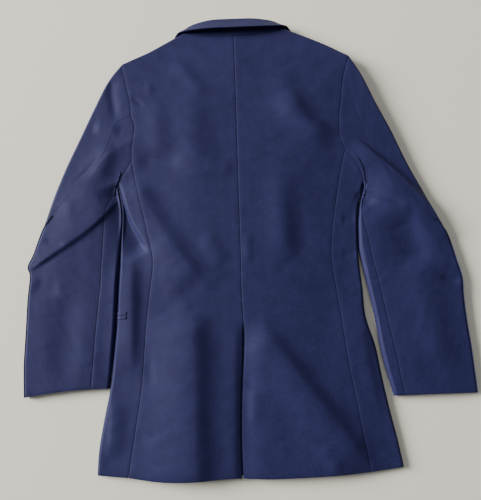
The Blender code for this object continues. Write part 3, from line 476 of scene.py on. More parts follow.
for one in (LEFT, RIGHT):
    front_seam = (one.seam_hem, one.seam_top, one.front_corner, -one.sign * FRONT_SEAM_INSET)
    one.fold = body_line(one.fold_column, one.fold_hem, one.fold_top, one.underarm)
    one.seam = body_line(one.seam_column, one.seam_hem, one.seam_top, one.seam_end)
    one.front_seam = body_line(one.seam_column, *front_seam)
CENTRE_LINE = body_line(3, CENTRE_HEM, CENTRE_TOP, CENTRE_NECK)


def outline_segments():
    """Short straight parts of all the lines where the upper layer meets the lower one."""
    lines = []
    for side in (LEFT, RIGHT):
        outer = [row[0:2] for row in side.sleeve]
        inner = [row[2:4] for row in side.sleeve]
        lines += [side.fold, [side.neck, *side.shoulder, side.shoulder_point], outer, inner]
    curves = [catmull_rom(line)[0] for line in lines]
    return np.vstack([np.stack([curve[:-1], curve[1:]], axis=1) for curve in curves])


OUTLINE = outline_segments()


# Heights of the two layers

def nearest(points, segments):
    """Distance from each point to the segments."""
    start = segments[:, 0]
    run = segments[:, 1] - start
    size = (run**2).sum(1)
    out = np.zeros(len(points))
    for first in range(0, len(points), POINTS_AT_ONCE):
        away = points[first : first + POINTS_AT_ONCE, None] - start
        t = np.clip((away * run).sum(2) / size, 0, 1)
        gap = away - t[..., None] * run
        out[first : first + POINTS_AT_ONCE] = np.sqrt((gap**2).sum(2).min(1))
    return out


def smooth(x):
    x = np.clip(x, 0, 1)
    return x * x * (3 - 2 * x)


def bell(x):
    return np.exp(-(x**2))


def thickness(y):
    rows = np.array(THICKNESS)
    return np.interp(y, rows[:, 0], rows[:, 1]), np.interp(y, rows[:, 0], rows[:, 2])


def crease_lift(points, table, end):
    """Height that a table of creases adds at each point. Each fades over this share at its ends."""
    lift = np.zeros(len(points))
    for ax, ay, bx, by, cx, cy, height, left_width, right_width in table:
        curve, _ = catmull_rom(((ax, ay), (bx, by), (cx, cy)), CREASE_STEPS)
        reach = CREASE_REACH * max(left_width, right_width)
        near = ((points > curve.min(0) - reach) & (points < curve.max(0) + reach)).all(1)
        if not near.any():
            continue
        run = np.diff(curve, axis=0)
        along = lengths(curve)
        away = points[near][:, None] - curve[:-1]
        t = np.clip((away * run).sum(2) / (run**2).sum(1), 0, 1)
        gap = away - t[..., None] * run
        distance = np.sqrt((gap**2).sum(2))
        best = distance.argmin(1)
        rows = np.arange(len(best))
        side = run[best, 0] * gap[rows, best, 1] - run[best, 1] * gap[rows, best, 0]
        share = (along[best] + t[rows, best] * np.linalg.norm(run, axis=1)[best]) / along[-1]
        fade = smooth(share / end) * smooth((1 - share) / end)
        width = np.where(side > 0, left_width, right_width)
        lift[near] += height * fade * bell(distance[rows, best] / width)
    return lift


def ripples(points):
    """Slow waves across the cloth, each swayed by the one before it."""
    total = np.zeros(len(points))
    sway = np.zeros(len(points))
    for degrees, wavelength, height, start in RIPPLES:
        turn = math.radians(degrees)
        along = points[:, 0] * math.cos(turn) + points[:, 1] * math.sin(turn) + sway
        wave = np.sin(2 * math.pi * along / wavelength + start)
        total += height * wave
        sway = RIPPLE_SWAY * wave
    return total


def inside(points, outline):
    """Whether each point lies in a closed outline, by counting the edges on its right."""
    count = np.zeros(len(points), int)
    for (ax, ay), (bx, by) in zip(outline, outline[1:] + outline[:1]):
        if ay != by:
            crosses = (ay > points[:, 1]) != (by > points[:, 1])
            count += crosses & (points[:, 0] < ax + (bx - ax) * (points[:, 1] - ay) / (by - ay))
    return count % 2 == 1


def raised(points, outline, lift):
    """Lift over what lies under this outline and its margin, falling away over a ramp."""
    ends = np.array(outline + outline[:1], float)
    distance = nearest(points, np.stack([ends[:-1], ends[1:]], axis=1))
    distance = np.where(inside(points, outline), 0, distance)
    return lift * (1 - smooth((distance - LIFT_MARGIN) / LIFT_RAMP))


def roll_x(y):
    """The left front's roll line, from the lapped edge at the break to the side of the neck."""
    foot = FRONT_CENTRE_X + FRONT_LAP
    return foot + (LEFT.neck[0] - foot) * (y - BREAK_Y) / (LEFT.neck[1] - BREAK_Y)


def turned_outline():
    """What is turned back under the left front: lapel and collar fall."""
    edge = [(FRONT_CENTRE_X + FRONT_LAP, BREAK_Y)] + [(x, y) for _, x, y in LAPEL]
    return [*edge, *FALL_UNDER, LEFT.neck]


def pocket_outline(side):
    x = np.interp(POCKET_Y, [y for _, y in side.fold], [x for x, _ in side.fold])
    far = x - side.sign * side.pocket_reach
    low = POCKET_Y - JET_WIDTH - JET_MARGIN
    high = POCKET_Y + JET_WIDTH + JET_MARGIN
    return [(x, low), (far, low), (far, high), (x, high)]


LAP_LEFT = FRONT_CENTRE_X - FRONT_LAP
LAP_RIGHT = FRONT_CENTRE_X + FRONT_LAP
LAP_FOOT = [(LAP_LEFT, STAND_LOW), (LAP_RIGHT, STAND_LOW), (LAP_RIGHT, BREAK_Y)]
STAND_STRIP = [*LAP_FOOT, (LAP_LEFT, BREAK_Y)]
LAP_OVER = [*LAP_FOOT, (FRONT_CENTRE_X, BREAK_Y + LAP_TIP), (LAP_LEFT, BREAK_Y + LAP_TIP_START)]
LEFT.held_up_by = (
    (turned_outline(), UNDER_LIFT),
    (LAP_OVER, LAP_LIFT),
    (pocket_outline(LEFT), POCKET_LIFT),
)
RIGHT.held_up_by = (
    ([mirrored(x, y) for x, y in turned_outline()], UNDER_LIFT),
    (STAND_STRIP, UNDER_LIFT),
    (pocket_outline(RIGHT), POCKET_LIFT),
)


def under_lift(points, held_up_by):
    """How far a lower layer is held up by what is folded or sewn on under it."""
    lift = np.zeros(len(points))
    for outline, height in held_up_by:
        lift = np.maximum(lift, raised(points, outline, height))
    return lift


def upper_height(points, distance, down_sleeve):
    """Height that the swell and the creases add to the upper layer. On the body down_sleeve is 0."""
    at_fold, fullest = thickness(points[:, 1])
    body_dome = smooth(distance / DOME_REACH)
    sleeve_dome = SLEEVE_DOME_SHARE * smooth(distance / SLEEVE_DOME_REACH)
    dome = (fullest - at_fold) * ((1 - down_sleeve) * body_dome + down_sleeve * sleeve_dome)
    creases = crease_lift(points, FOLDS, FOLD_FADE) + crease_lift(points, CREASES, CREASE_FADE)
    return dome + (creases + ripples(points)) * smooth(distance / FOLD_OVER)


def sleeve_share(rows):
    """How far each row of a sleeve has left the armhole: 0 is the body's swell, 1 the sleeve's own."""
    first, last = SLEEVE_DOME_ROWS
    return smooth((even(rows - 1) - first) / (last - first))


def layer_height(plan, upper, on_fold, held_up_by, is_sleeve):
    """Height of a grid of plan points on one layer. on_fold marks a fold's widest line."""
    points = plan.reshape(-1, 2)
    distance = nearest(points, OUTLINE)
    distance = np.where(on_fold.ravel(), 0, distance)
    at_fold, _ = thickness(points[:, 1])
    middle = at_fold / 2
    lean = np.clip(1 - distance / (FOLD_OVER if upper else FOLD_UNDER), 0, 1)
    rise = np.sqrt(1 - lean**2)
    if upper:
        rows, columns = plan.shape[:2]
        down_sleeve = np.repeat(sleeve_share(rows) if is_sleeve else np.zeros(rows), columns)
        z = middle + middle * rise + upper_height(points, distance, down_sleeve)
    else:
        z = middle - middle * rise + under_lift(points, held_up_by) * rise
    return z.reshape(plan.shape[:2])


# Panels in plan

def patch(left, right, bottom, top, fade=1):
    """Grid between four edges that share corners: rows run from bottom to top."""
    rows = len(left)
    share_b = lengths(bottom) / lengths(bottom)[-1]
    share_t = lengths(top) / lengths(top)[-1]
    t = even(rows - 1)[:, None, None]
    s = (1 - t) * share_b[None, :, None] + t * share_t[None, :, None]
    low = bottom - ((1 - share_b)[:, None] * bottom[0] + share_b[:, None] * bottom[-1])
    high = top - ((1 - share_t)[:, None] * top[0] + share_t[:, None] * top[-1])
    grid = (1 - s) * left[:, None] + s * right[:, None]
    return grid + (1 - t) ** fade * low[None] + t**fade * high[None]


def inward(edge, inner):
    """Direction across an edge, in plan, towards the points of the next row."""
    run = np.gradient(edge, axis=0)
    across = np.stack([-run[:, 1], run[:, 0]], axis=1)
    across = across / np.linalg.norm(across, axis=1)[:, None]
    side = np.sign((across * (inner - edge)).sum(1))
    return across * side[len(side) // 2]


def drawn_in(grid, rows=(), columns=()):
    """The grid with these end rows and end columns moved in by their share of a seam gap."""
    out = grid.copy()
    for k in rows:
        out[k] += inward(grid[k], grid[1 if k == 0 else -2]) * SEAM_GAP / 2
    for k in columns:
        out[:, k] += inward(grid[:, k], grid[:, 1 if k == 0 else -2]) * SEAM_GAP / 2
    return out


def edge_distance(plan, edge):
    """Distance in plan from each point of a grid to one of its edges."""
    line = {"left": plan[:, 0], "right": plan[:, -1], "bottom": plan[0], "top": plan[-1]}[edge]
    segments = np.stack([line[:-1], line[1:]], axis=1)
    return nearest(plan.reshape(-1, 2), segments).reshape(plan.shape[:2])


def seamed(plan, z, seams=(), shallow=(), edges=(), hems=(), upper=True):
    """The heights with grooves at seams, pressed free edges, and the turn of the hems."""
    z = z.copy()
    sign = 1 if upper else -LOWER_SHARE
    for edge in (*seams, *shallow):
        away = edge_distance(plan, edge)
        share = SHALLOW_SHARE if edge in shallow else 1
        z -= sign * share * GROOVE_DEPTH * bell(away / GROOVE_WIDTH)
        if upper:
            z += share * RIDGE_HEIGHT * bell((away - RIDGE_AWAY) / RIDGE_WIDTH)
    for edge in (*edges, *hems):
        away = edge_distance(plan, edge)
        z -= sign * EDGE_DROP * bell(away / EDGE_WIDTH)
    for edge in hems if upper else ():
        z -= HEM_LINE_DEPTH * bell((edge_distance(plan, edge) - HEM_TURN) / HEM_LINE_WIDTH)
    return z


def layer(plan, upper, fold_columns=(), shoulder=False, held_up_by=(), is_sleeve=False, **marks):
    """Points of a plan grid on one layer, whose last row can be the shoulder seam on the fold."""
    on_fold = np.zeros(plan.shape[:2], bool)
    for k in fold_columns:
        on_fold[:, k] = True
    if shoulder:
        on_fold[-1] = True
    z = layer_height(plan, upper, on_fold, held_up_by, is_sleeve)
    z = seamed(plan, z, upper=upper, **marks)
    if shoulder:
        z[-1] += SEAM_GAP / 2 if upper else -SEAM_GAP / 2
    return np.dstack([plan, z])


def armhole(side):
    """Stations of the armhole seam over and under, from the shoulder point to the underarm."""
    crown = [side.shoulder_point, *side.crown, side.elbow_top]
    back = [*side.armhole_back, side.seam_end]
    over = [*crown, *back, *side.armhole_side, side.underarm]
    under = [side.underarm, side.under_turn, side.front_corner, *side.armhole_front, side.shoulder_point]
    at_elbow = len(crown) - 1
    at_seam = at_elbow + len(back)
    return {
        "crown": stretch(over, finer(CROWN_STEPS), 0, at_elbow),
        "back": stretch(over, finer(ARMHOLE_BACK_STEPS), at_elbow, at_seam),
        "side": stretch(over, finer(ARMHOLE_SIDE_STEPS), at_seam, -1),
        "underarm": stretch(under, finer(UNDERARM_STEPS), 0, 2),
        "front": stretch(under, finer(ARMHOLE_FRONT_STEPS), 2, -1),
    }


def joined(*parts):
    """Stations of stretches that follow each other, with the shared ends once."""
    return np.vstack([parts[0]] + [part[1:] for part in parts[1:]])


def shoulder_edge(side):
    """The shoulder line, from the neck out."""
    return stretch([side.neck, *side.shoulder, side.shoulder_point], finer(SHOULDER_STEPS))


def centre_edge(side, shares):
    """The centre seam, and below it this side's edge of the vent."""
    line = stretch(CENTRE_LINE, shares)
    widths = np.array(VENT_WIDTHS)
    gap = np.interp(line[:, 1], widths[:, 0], widths[:, 1], right=SEAM_GAP)
    line[:, 0] += side.sign * gap / 2
    return line


def back_points(side):
    """Upper points of one half of the back, with its shoulder seam down on the fold's widest line."""
    hole = armhole(side)
    seam = stretch(side.seam, even(SEAM_ROWS * FINE_OVER))
    outer_edge = joined(seam, hole["back"][::-1], hole["crown"][::-1])
    centre = centre_edge(side, lengths(outer_edge) / lengths(outer_edge)[-1])
    neck = [side.neck, *side.back_neck, tuple(centre[-1])]
    neck_edge = stretch(neck, finer(NECK_STEPS))[::-1]
    hem_way = [tuple(centre[0]), *side.back_hem, tuple(seam[0])]
    hem = stretch(hem_way, finer(BACK_HEM_STEPS))
    top = joined(neck_edge, shoulder_edge(side))
    plan = drawn_in(patch(centre, outer_edge, hem, top), columns=(-1,))
    marks = {"seams": ("left", "right"), "hems": ("bottom",)}
    points = layer(plan, True, **marks)
    fold = layer(plan, True, shoulder=True, **marks)
    neck_end = len(neck_edge) - 1
    points[-1, neck_end:] = fold[-1, neck_end:]
    return points


def side_points(side):
    """Points of a side panel, from the back seam over the fold and under it to the front seam."""
    hole = armhole(side)
    rows = even(SEAM_ROWS * FINE_OVER)
    seam = stretch(side.seam, rows)
    fold = stretch(side.fold, rows)
    front = stretch(side.front_seam, rows)
    over_hem = stretch([tuple(seam[0]), tuple(fold[0])], finer(ARMHOLE_SIDE_STEPS))
    under_hem = stretch([tuple(fold[0]), tuple(front[0])], finer(UNDERARM_STEPS))
    over = patch(seam, fold, over_hem, hole["side"], fade=SIDE_FADE)
    under = patch(fold, front, under_hem, hole["underarm"], fade=SIDE_FADE)
    over = drawn_in(over, rows=(-1,), columns=(0,))
    under = drawn_in(under, rows=(-1,), columns=(-1,))
    upper = layer(over, True, fold_columns=(-1,), seams=("left", "top"), hems=("bottom",))
    lower = layer(under, False, fold_columns=(0,), held_up_by=side.held_up_by, seams=("right",))
    return np.concatenate([upper, lower[:, 1:]], axis=1)


def front_points(side):
    """Lower points of a front, from its lapped edge and roll line out to its seam and armhole."""
    hole = armhole(side)
    seam = stretch(side.front_seam, even(SEAM_ROWS * FINE_OVER))
    outer_edge = joined(seam, hole["front"])
    top = shoulder_edge(side)
    lap_x = FRONT_CENTRE_X - side.sign * FRONT_LAP
    low, turn, neck = np.array([(lap_x, FRONT_HEM_Y), (lap_x, BREAK_Y), side.neck])
    straight_rows = CENTRE_FRONT_ROWS * FINE_OVER
    roll_rows = len(outer_edge) - 1 - straight_rows
    straight = low + even(straight_rows)[:, None] * (turn - low)
    sloping = turn + even(roll_rows)[:, None] * (neck - turn)
    inner_edge = joined(straight, sloping)
    hem = stretch([tuple(inner_edge[0]), tuple(seam[0])], even(len(top) - 1))
    plan = drawn_in(patch(inner_edge, outer_edge, hem, top), columns=(-1,))
    return layer(plan, False, shoulder=True, held_up_by=side.held_up_by, seams=("right",))


def sleeve_grid(side, sections, shares, armhole_edge, upper):
    """Plan grid of one layer of a sleeve from columns given as shares of the width."""
    outer_point = sections[:, None, 0:2]
    inner_point = sections[:, None, 2:4]
    s = shares[..., None]
    line = (1 - s) * outer_point + s * inner_point
    first = armhole_edge - line[0]
    t = even(len(sections) - 1)[:, None, None]
    across = inner_point - outer_point
    across = across / np.linalg.norm(across, axis=2)[..., None]
    down = side.sign * np.stack([-across[..., 1], across[..., 0]], axis=2)
    bow = SLEEVE_ROW_BOW * (1 - t) ** 2 * np.minimum(1, t * SLEEVE_BOW_RAMP) if upper else 0
    bend = bow * down + t**ARMHOLE_FADE * side.cuff_bow * np.array([0, 1])
    return line + (1 - t) ** ARMHOLE_FADE * first + 4 * s * (1 - s) * bend


def dense_ends(count, how_much=0.7):
    """Shares from 0 to 1 that lie closer together near both ends."""
    u = even(count)
    return u - how_much * np.sin(2 * math.pi * u) / (2 * math.pi)


def sleeve_points(side):
    """Points of the under sleeve, which shows, and of the top sleeve, which wraps round it."""
    hole = armhole(side)
    sections, _ = catmull_rom(side.sleeve, SLEEVE_ROWS_PER_SECTION)
    count = len(sections)
    t = even(count - 1)[:, None]
    over_edge = joined(hole["crown"], hole["back"], hole["side"])
    run = lengths(over_edge) / lengths(over_edge)[-1]
    crown_end = (len(CROWN_STEPS) - 1) * FINE_OVER
    strip_columns = FORE_STRIP_STEPS * FINE_OVER
    fore_start = len(over_edge) - 1 - strip_columns
    elbow = sections[:, 4:5]
    fore = sections[:, 5:6]
    shares = np.zeros((count, len(over_edge)))
    spread = smooth(t / CROWN_SPREAD)
    graded = finer(CROWN_STEPS)
    shares[:, : crown_end + 1] = elbow * ((1 - spread) * graded + spread * dense_ends(crown_end))
    between = dense_ends(fore_start - crown_end)
    shares[:, crown_end : fore_start + 1] = elbow + (fore - elbow) * between
    shares[:, fore_start:] = fore + (1 - fore) * (1 - (1 - even(strip_columns)) ** 2)
    settle = smooth(t / ARMHOLE_SETTLE)
    shares = (1 - settle) * run + settle * shares
    over = sleeve_grid(side, sections, shares, over_edge, True)
    under_edge = joined(hole["underarm"], hole["front"])
    under_run = 1 - lengths(under_edge) / lengths(under_edge)[-1]
    under_even = 0.5 + 0.5 * np.cos(math.pi * even(len(under_edge) - 1))
    under_shares = (1 - settle) * under_run + settle * under_even
    under = sleeve_grid(side, sections, under_shares, under_edge, False)

    panel = drawn_in(over[:, crown_end : fore_start + 1], (0,), (0, -1))
    marks = {"is_sleeve": True, "hems": ("top",)}
    panel = layer(panel, True, seams=("right", "bottom"), shallow=("left",), **marks)
    crown = drawn_in(over[:, : crown_end + 1], (0,), (-1,))
    strip = drawn_in(over[:, fore_start:], (0,), (0,))
    below = drawn_in(under, (0,))
    crown = layer(crown, True, (0,), seams=("bottom",), shallow=("right",), **marks)
    below = layer(below, False, (0, -1))
    strip = layer(strip, True, (-1,), seams=("left", "bottom"), **marks)
    return panel, np.concatenate([strip, below[:, 1:], crown[:, 1:]], axis=1)


def lapel_points(side):
    """Under face of a turned lapel, flat on the floor."""
    rows, _ = catmull_rom(LAPEL[side.first_lapel_row :], LAPEL_ROWS_PER_SECTION)
    inner_point = np.stack([roll_x(rows[:, 0]), rows[:, 0]], axis=1)[:, None]
    edge_point = rows[:, None, 1:3]
    plan = inner_point + even(LAPEL_COLUMNS)[None, :, None] * (edge_point - inner_point)
    if side is RIGHT:
        plan = np.dstack(mirrored(plan[..., 0], plan[..., 1]))
    return np.dstack([plan, np.zeros(plan.shape[:2])])


def collar_points():
    """Middle of the folded band, from the right gorge round the neck to the left one."""
    left = np.array(COLLAR, float)
    right = left[1:].copy()
    for k in (0, 3, 6):
        right[:, k], right[:, k + 1] = mirrored(right[:, k], right[:, k + 1])
    stations, _ = catmull_rom(np.vstack([left[::-1], right]), COLLAR_STEPS_PER_SECTION)
    angle = np.linspace(0, math.pi, COLLAR_COLUMNS + 1)
    rows = []
    for row in stations:
        seam, roll, edge = row[0:3], row[3:6], row[6:9]
        stand = seam + STAND_SHARE * (roll - seam)
        fall = roll + FALL_SHARE * (edge - roll)
        section, _ = catmull_rom((seam, stand, roll, fall, edge))
        along = lengths(section)
        at = along[-1] * (0.5 - 0.5 * np.cos(angle) + angle / math.pi) / 2
        rows.append(np.stack([np.interp(at, along, section[:, k]) for k in range(3)], axis=1))
    middle = np.array(rows)
    middle[..., 2] = np.maximum(middle[..., 2], COLLAR_WALL / 2 + COLLAR_CLEAR)
    return middle


def underlap_points():
    """Points of the strip behind the vent, a little under the upper layer."""
    x0, x1, y0, y1 = UNDERLAP
    across = np.linspace(x0, x1, UNDERLAP_COLUMNS)
    plan = np.dstack(np.meshgrid(across, np.linspace(y0, y1, UNDERLAP_ROWS)))
    points = layer(plan, True, edges=("left",))
    points[..., 2] -= UNDERLAP_DEPTH
    return points


def grid_normals(points):
    """Unit cross product of a grid's directions at each point."""
    normal = np.cross(np.gradient(points, axis=1), np.gradient(points, axis=0))
    return normal / np.maximum(np.linalg.norm(normal, axis=2), 1e-9)[..., None]


def across_at(y, outer, normal):
    """Where each column of a panel's grid is at this height above the hem."""
    both = np.concatenate([outer, normal], axis=2)
    columns = both.swapaxes(0, 1)
    return np.array([[np.interp(y, one[:, 1], one[:, k]) for k in range(6)] for one in columns])


def jet_points(side, upper, around, below):
    """One jet of a pocket, on the side and front panels' points, round the fold."""
    low = POCKET_Y + HALF_MOUTH if upper else POCKET_Y - HALF_MOUTH - JET_WIDTH
    fold_column = (len(ARMHOLE_SIDE_STEPS) - 1) * FINE_OVER
    around_normal = grid_normals(around)
    around_normal *= np.sign(around_normal[len(around) // 2, 0, 2])
    below_normal = grid_normals(below)
    below_normal *= -np.sign(below_normal[len(below) // 2, 0, 2])
    rows = []
    for y in low + even(JET_ROWS) * JET_WIDTH:
        side_line = across_at(y, around, around_normal)
        front_line = across_at(y, below, below_normal)
        line = np.vstack([side_line, front_line[::-1]])
        inward_x = side.sign * (line[fold_column, 0] - line[:, 0])
        inward_x[:fold_column] *= -1
        within = (inward_x > JET_MARGIN - side.pocket_end) & (inward_x < side.pocket_reach - JET_MARGIN)
        columns = max(int(within.sum()), LEAST_JET_COLUMNS)
        at = np.linspace(-side.pocket_end, side.pocket_reach, columns)
        order = np.argsort(inward_x)
        rows.append(np.stack([np.interp(at, inward_x[order], line[order, k]) for k in range(6)], axis=1))
    grid = np.array(rows)
    normal = grid[..., 3:] / np.linalg.norm(grid[..., 3:], axis=2)[..., None]
    round_face = JET_ROUND * np.sin(math.pi * even(JET_ROWS))[:, None, None]
    return grid[..., :3] + normal * (JET_STAND + round_face)


# Objects

def select_only(piece):
    bpy.ops.object.select_all(action="DESELECT")
    piece.select_set(True)
    bpy.context.view_layer.objects.active = piece


def apply_modifier(piece, kind, **settings):
    select_only(piece)
    modifier = piece.modifiers.new(kind.title(), kind)
    for key, value in settings.items():
        setattr(modifier, key, value)
    bpy.ops.object.modifier_apply(modifier=modifier.name)


def cloth_lengths(points):
    """Distances over the cloth along each row and each column of a grid."""
    across = np.linalg.norm(np.diff(points, axis=1), axis=2)
    along = np.linalg.norm(np.diff(points, axis=0), axis=2)
    u = np.concatenate([np.zeros((len(points), 1)), across.cumsum(1)], axis=1)
    v = np.concatenate([np.zeros((1, points.shape[1])), along.cumsum(0)])
    return u, v


def grid_object(name, points, outward):
    """A grid primitive moved onto these points, facing the way outward says at its middle."""
    rows, columns = points.shape[:2]
    bpy.ops.object.select_all(action="DESELECT")
    bpy.ops.mesh.primitive_grid_add(x_subdivisions=columns - 1, y_subdivisions=rows - 1, size=2)
    piece = bpy.context.object
    piece.name = name
    mesh = piece.data
    mesh.name = name
    if len(mesh.vertices) != rows * columns:
        raise RuntimeError(f"{name}: the grid has {len(mesh.vertices)} points")
    flat = np.empty(rows * columns * 3)
    mesh.vertices.foreach_get("co", flat)
    flat = flat.reshape(-1, 3)
    i = np.rint((flat[:, 0] + 1) / 2 * (columns - 1)).astype(int)
    j = np.rint((flat[:, 1] + 1) / 2 * (rows - 1)).astype(int)
    place = (points[j, i] - (*CENTRE, 0)) * MM
    mesh.vertices.foreach_set("co", place.ravel())
    u, v = cloth_lengths(points)
    corner = np.empty(len(mesh.loops), int)
    mesh.loops.foreach_get("vertex_index", corner)
    uv = np.stack([u[j, i], v[j, i]], axis=1)[corner] * MM
    mesh.uv_layers[0].data.foreach_set("uv", uv.ravel())
    mesh.update()
    if outward(grid_normals(points)) < 0:
        mesh.flip_normals()
    return piece


def upward(normal):
    """Whether a grid's cross product points up over most of it: then this is above 0."""
    return normal[..., 2].mean()


def downward(normal):
    """Whether it points down over most of it."""
    return -normal[..., 2].mean()


def first_up(normal):
    """Whether it points up along the first columns, for a grid that goes on round a fold."""
    return normal[:, : normal.shape[1] // 6, 2].mean()


def middle_down(normal):
    """Whether it points down along the middle columns, for a grid that wraps round two folds."""
    third = normal.shape[1] // 3
    return -normal[:, third : 2 * third, 2].mean()


def lift_to_floor(mesh):
    """Move any point that lies under the floor up to it."""
    flat = np.empty(len(mesh.vertices) * 3)
    mesh.vertices.foreach_get("co", flat)
    flat[2::3] = np.maximum(flat[2::3], 0)
    mesh.vertices.foreach_set("co", flat)
    mesh.update()


def cloth_piece(node, points, outward, wall, kind="cloth", offset=-1):
    """A closed cloth shell on these points, which takes this node's place in the navy cloth."""
    piece = grid_object(f"{node}_{kind}", points, outward)
    apply_modifier(piece, "SOLIDIFY", thickness=wall * MM, offset=offset, use_even_offset=False)
    lift_to_floor(piece.data)
    width = EDGE_BEVEL * MM
    angle = math.radians(BEVEL_ANGLE)
    apply_modifier(piece, "BEVEL", width=width, segments=2, limit_method="ANGLE", angle_limit=angle)
    select_only(piece)
    bpy.ops.object.shade_smooth_by_angle(angle=math.radians(SMOOTH_ANGLE))
    finish(piece, navy(), node)
    return piece


def finish(piece, material, node):
    """Give a piece its material, attach it to the root body, and hide the part of its node."""
    piece.data.materials.clear()
    piece.data.materials.append(material)
    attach(piece, "root")
    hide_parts(node)


def flat_cut(points):
    """Width, length and area of a grid's cloth when it is laid out flat, in metres."""
    u, v = cloth_lengths(points)
    a = points[1:, 1:] - points[:-1, :-1]
    b = points[1:, :-1] - points[:-1, 1:]
    area = np.linalg.norm(np.cross(a, b), axis=2).sum() / 2
    width, length = u[:, -1].max(), v[-1].max()
    return (width * MM, length * MM), area * MM * MM


def sheet_piece(node, points, outward, wall, offset=-1):
    """A cloth piece, whose flat cut's size and area are worked out but not used."""
    piece = cloth_piece(node, points, outward, wall, offset=offset)
    size, area = flat_cut(points)
    return piece


def sheet_pair(kind, make_points, outward, wall):
    """The left and the right sheet piece of one kind."""
    for side in (LEFT, RIGHT):
        sheet_piece(f"{kind}_{side.name}", make_points(side), outward, wall)


# Shader arithmetic

class Wire:
    """An output socket, on which arithmetic adds Math nodes."""

    def __init__(self, graph, socket):
        self.graph = graph
        self.socket = socket

    def combine(self, operation, first, second):
        return self.graph.node("ShaderNodeMath", {"operation": operation}, {0: first, 1: second})

    def __add__(self, other):
        return self.combine("ADD", self, other)

    __radd__ = __add__

    def __sub__(self, other):
        return self.combine("SUBTRACT", self, other)

    def __rsub__(self, other):
        return self.combine("SUBTRACT", other, self)

    def __mul__(self, other):
        return self.combine("MULTIPLY", self, other)

    __rmul__ = __mul__


class Graph:
    """The node tree of one material."""

    def __init__(self, name):
        self.material = bpy.data.materials.new(name)
        self.material.use_nodes = True
        self.tree = self.material.node_tree
        self.shader = self.tree.nodes["Principled BSDF"]

    def set_socket(self, socket, value):
        if isinstance(value, Wire):
            self.tree.links.new(value.socket, socket)
        else:
            socket.default_value = value

    def node(self, kind, settings, values, output=0):
        made = self.tree.nodes.new(kind)
        for key, value in settings.items():
            setattr(made, key, value)
        for key, value in values.items():
            self.set_socket(made.inputs[key], value)
        return Wire(self, made.outputs[output])

    def sine(self, value):
        return self.node("ShaderNodeMath", {"operation": "SINE"}, {0: value})

    def noise(self, vector, scale, detail, roughness):
        values = {"Vector": vector, "Scale": scale, "Detail": detail, "Roughness": roughness}
        return self.node("ShaderNodeTexNoise", {}, values)

    def mix(self, factor, first, second):
        values = {0: factor, 6: first, 7: second}
        return self.node("ShaderNodeMix", {"data_type": "RGBA"}, values, 2)

    def shade(self, **values):
        for key, value in values.items():
            self.set_socket(self.shader.inputs[key.replace("_", " ")], value)


def colour_between(graph, value, low, high, dark, light):
    factor = graph.node("ShaderNodeMapRange", {}, {0: value, 1: low, 2: high, 3: 0.0, 4: 1.0})
    return graph.mix(factor, dark, light)


def twill(name):
    """Navy twill: fine diagonal ribs, uneven yarns, and a slow change of tone."""
    sizes = bpy.context.scene.jacket_sizes
    colours = bpy.context.scene.jacket_colours
    graph = Graph(name)
    uv = graph.node("ShaderNodeTexCoord", {}, {}, "UV")
    u = graph.node("ShaderNodeSeparateXYZ", {}, {0: uv}, 0)
    v = graph.node("ShaderNodeSeparateXYZ", {}, {0: uv}, 1)
    rib = graph.sine((u + v * RIB_LEAN) * (2 * math.pi / sizes.twill_pitch))
    thread = graph.sine(v * (2 * math.pi / (sizes.twill_pitch * THREAD_PITCH_SHARE)))
    weave = rib * RIB_WEIGHT + thread * THREAD_WEIGHT
    noises = {key: graph.noise(uv, *row[:3]) for key, row in UNEVENNESS.items()}
    tone = weave * WEAVE_TONE + 0.5
    relief = weave * WEAVE_RELIEF
    for key, (_, _, _, in_tone, in_relief) in UNEVENNESS.items():
        tone = tone + (noises[key] - 0.5) * in_tone
        relief = relief + noises[key] * in_relief
    colour = colour_between(graph, tone, 0.0, 1.0, tuple(colours.cloth_dark), tuple(colours.cloth_light))
    height = {"Strength": RELIEF_STRENGTH, "Distance": RELIEF_DEPTH, "Height": relief}
    graph.shade(
        Base_Color=colour,
        Roughness=(noises["nap"] - 0.5) * NAP_ROUGHNESS + CLOTH_ROUGHNESS,
        Normal=graph.node("ShaderNodeBump", {}, height),
        Specular_IOR_Level=CLOTH_SPECULAR,
        Sheen_Weight=SHEEN_WEIGHT,
        Sheen_Roughness=SHEEN_ROUGHNESS,
        Sheen_Tint=SHEEN_TINT,
    )
    return graph.material


def button_material(name):
    """Dark, half glossy plastic with a faint cloud in it."""
    colours = bpy.context.scene.jacket_colours
    graph = Graph(name)
    place = graph.node("ShaderNodeTexCoord", {}, {}, "Object")
    cloud = graph.noise(place, BUTTON_CLOUD_SCALE, 2.0, 0.5)
    colour = colour_between(graph, cloud, *BUTTON_CLOUD_RANGE, tuple(colours.button), BUTTON_LIGHT)
    graph.shade(Base_Color=colour, Roughness=(cloud - 0.5) * BUTTON_ROUGHNESS_SPREAD + BUTTON_ROUGHNESS)
    return graph.material


def material_named(name, make):
    """The material of this name, made when it is first asked for."""
    return bpy.data.materials.get(name) or make(name)


def navy():
    return material_named("navy_twill", twill)


# Properties

def length(name, description, default):
    return bpy.props.FloatProperty(name=name, description=description, default=default, unit="LENGTH")


def colour(name, description, red, green, blue):
    return bpy.props.FloatVectorProperty(
        name=name, description=description, default=(red, green, blue, 1.0),
        subtype="COLOR", size=4, min=0, max=1,
    )


class JacketSizes(bpy.types.PropertyGroup):
    cloth_wall: length("Cloth thickness", "Thickness of a panel", 0.0015)
    twill_pitch: length("Twill pitch", "Distance between the diagonal ribs", 0.0011)
    button_radius: length("Button radius", "Radius of a front button", 0.0095)
    button_thickness: length("Button thickness", "Thickness of a front button", 0.0023)


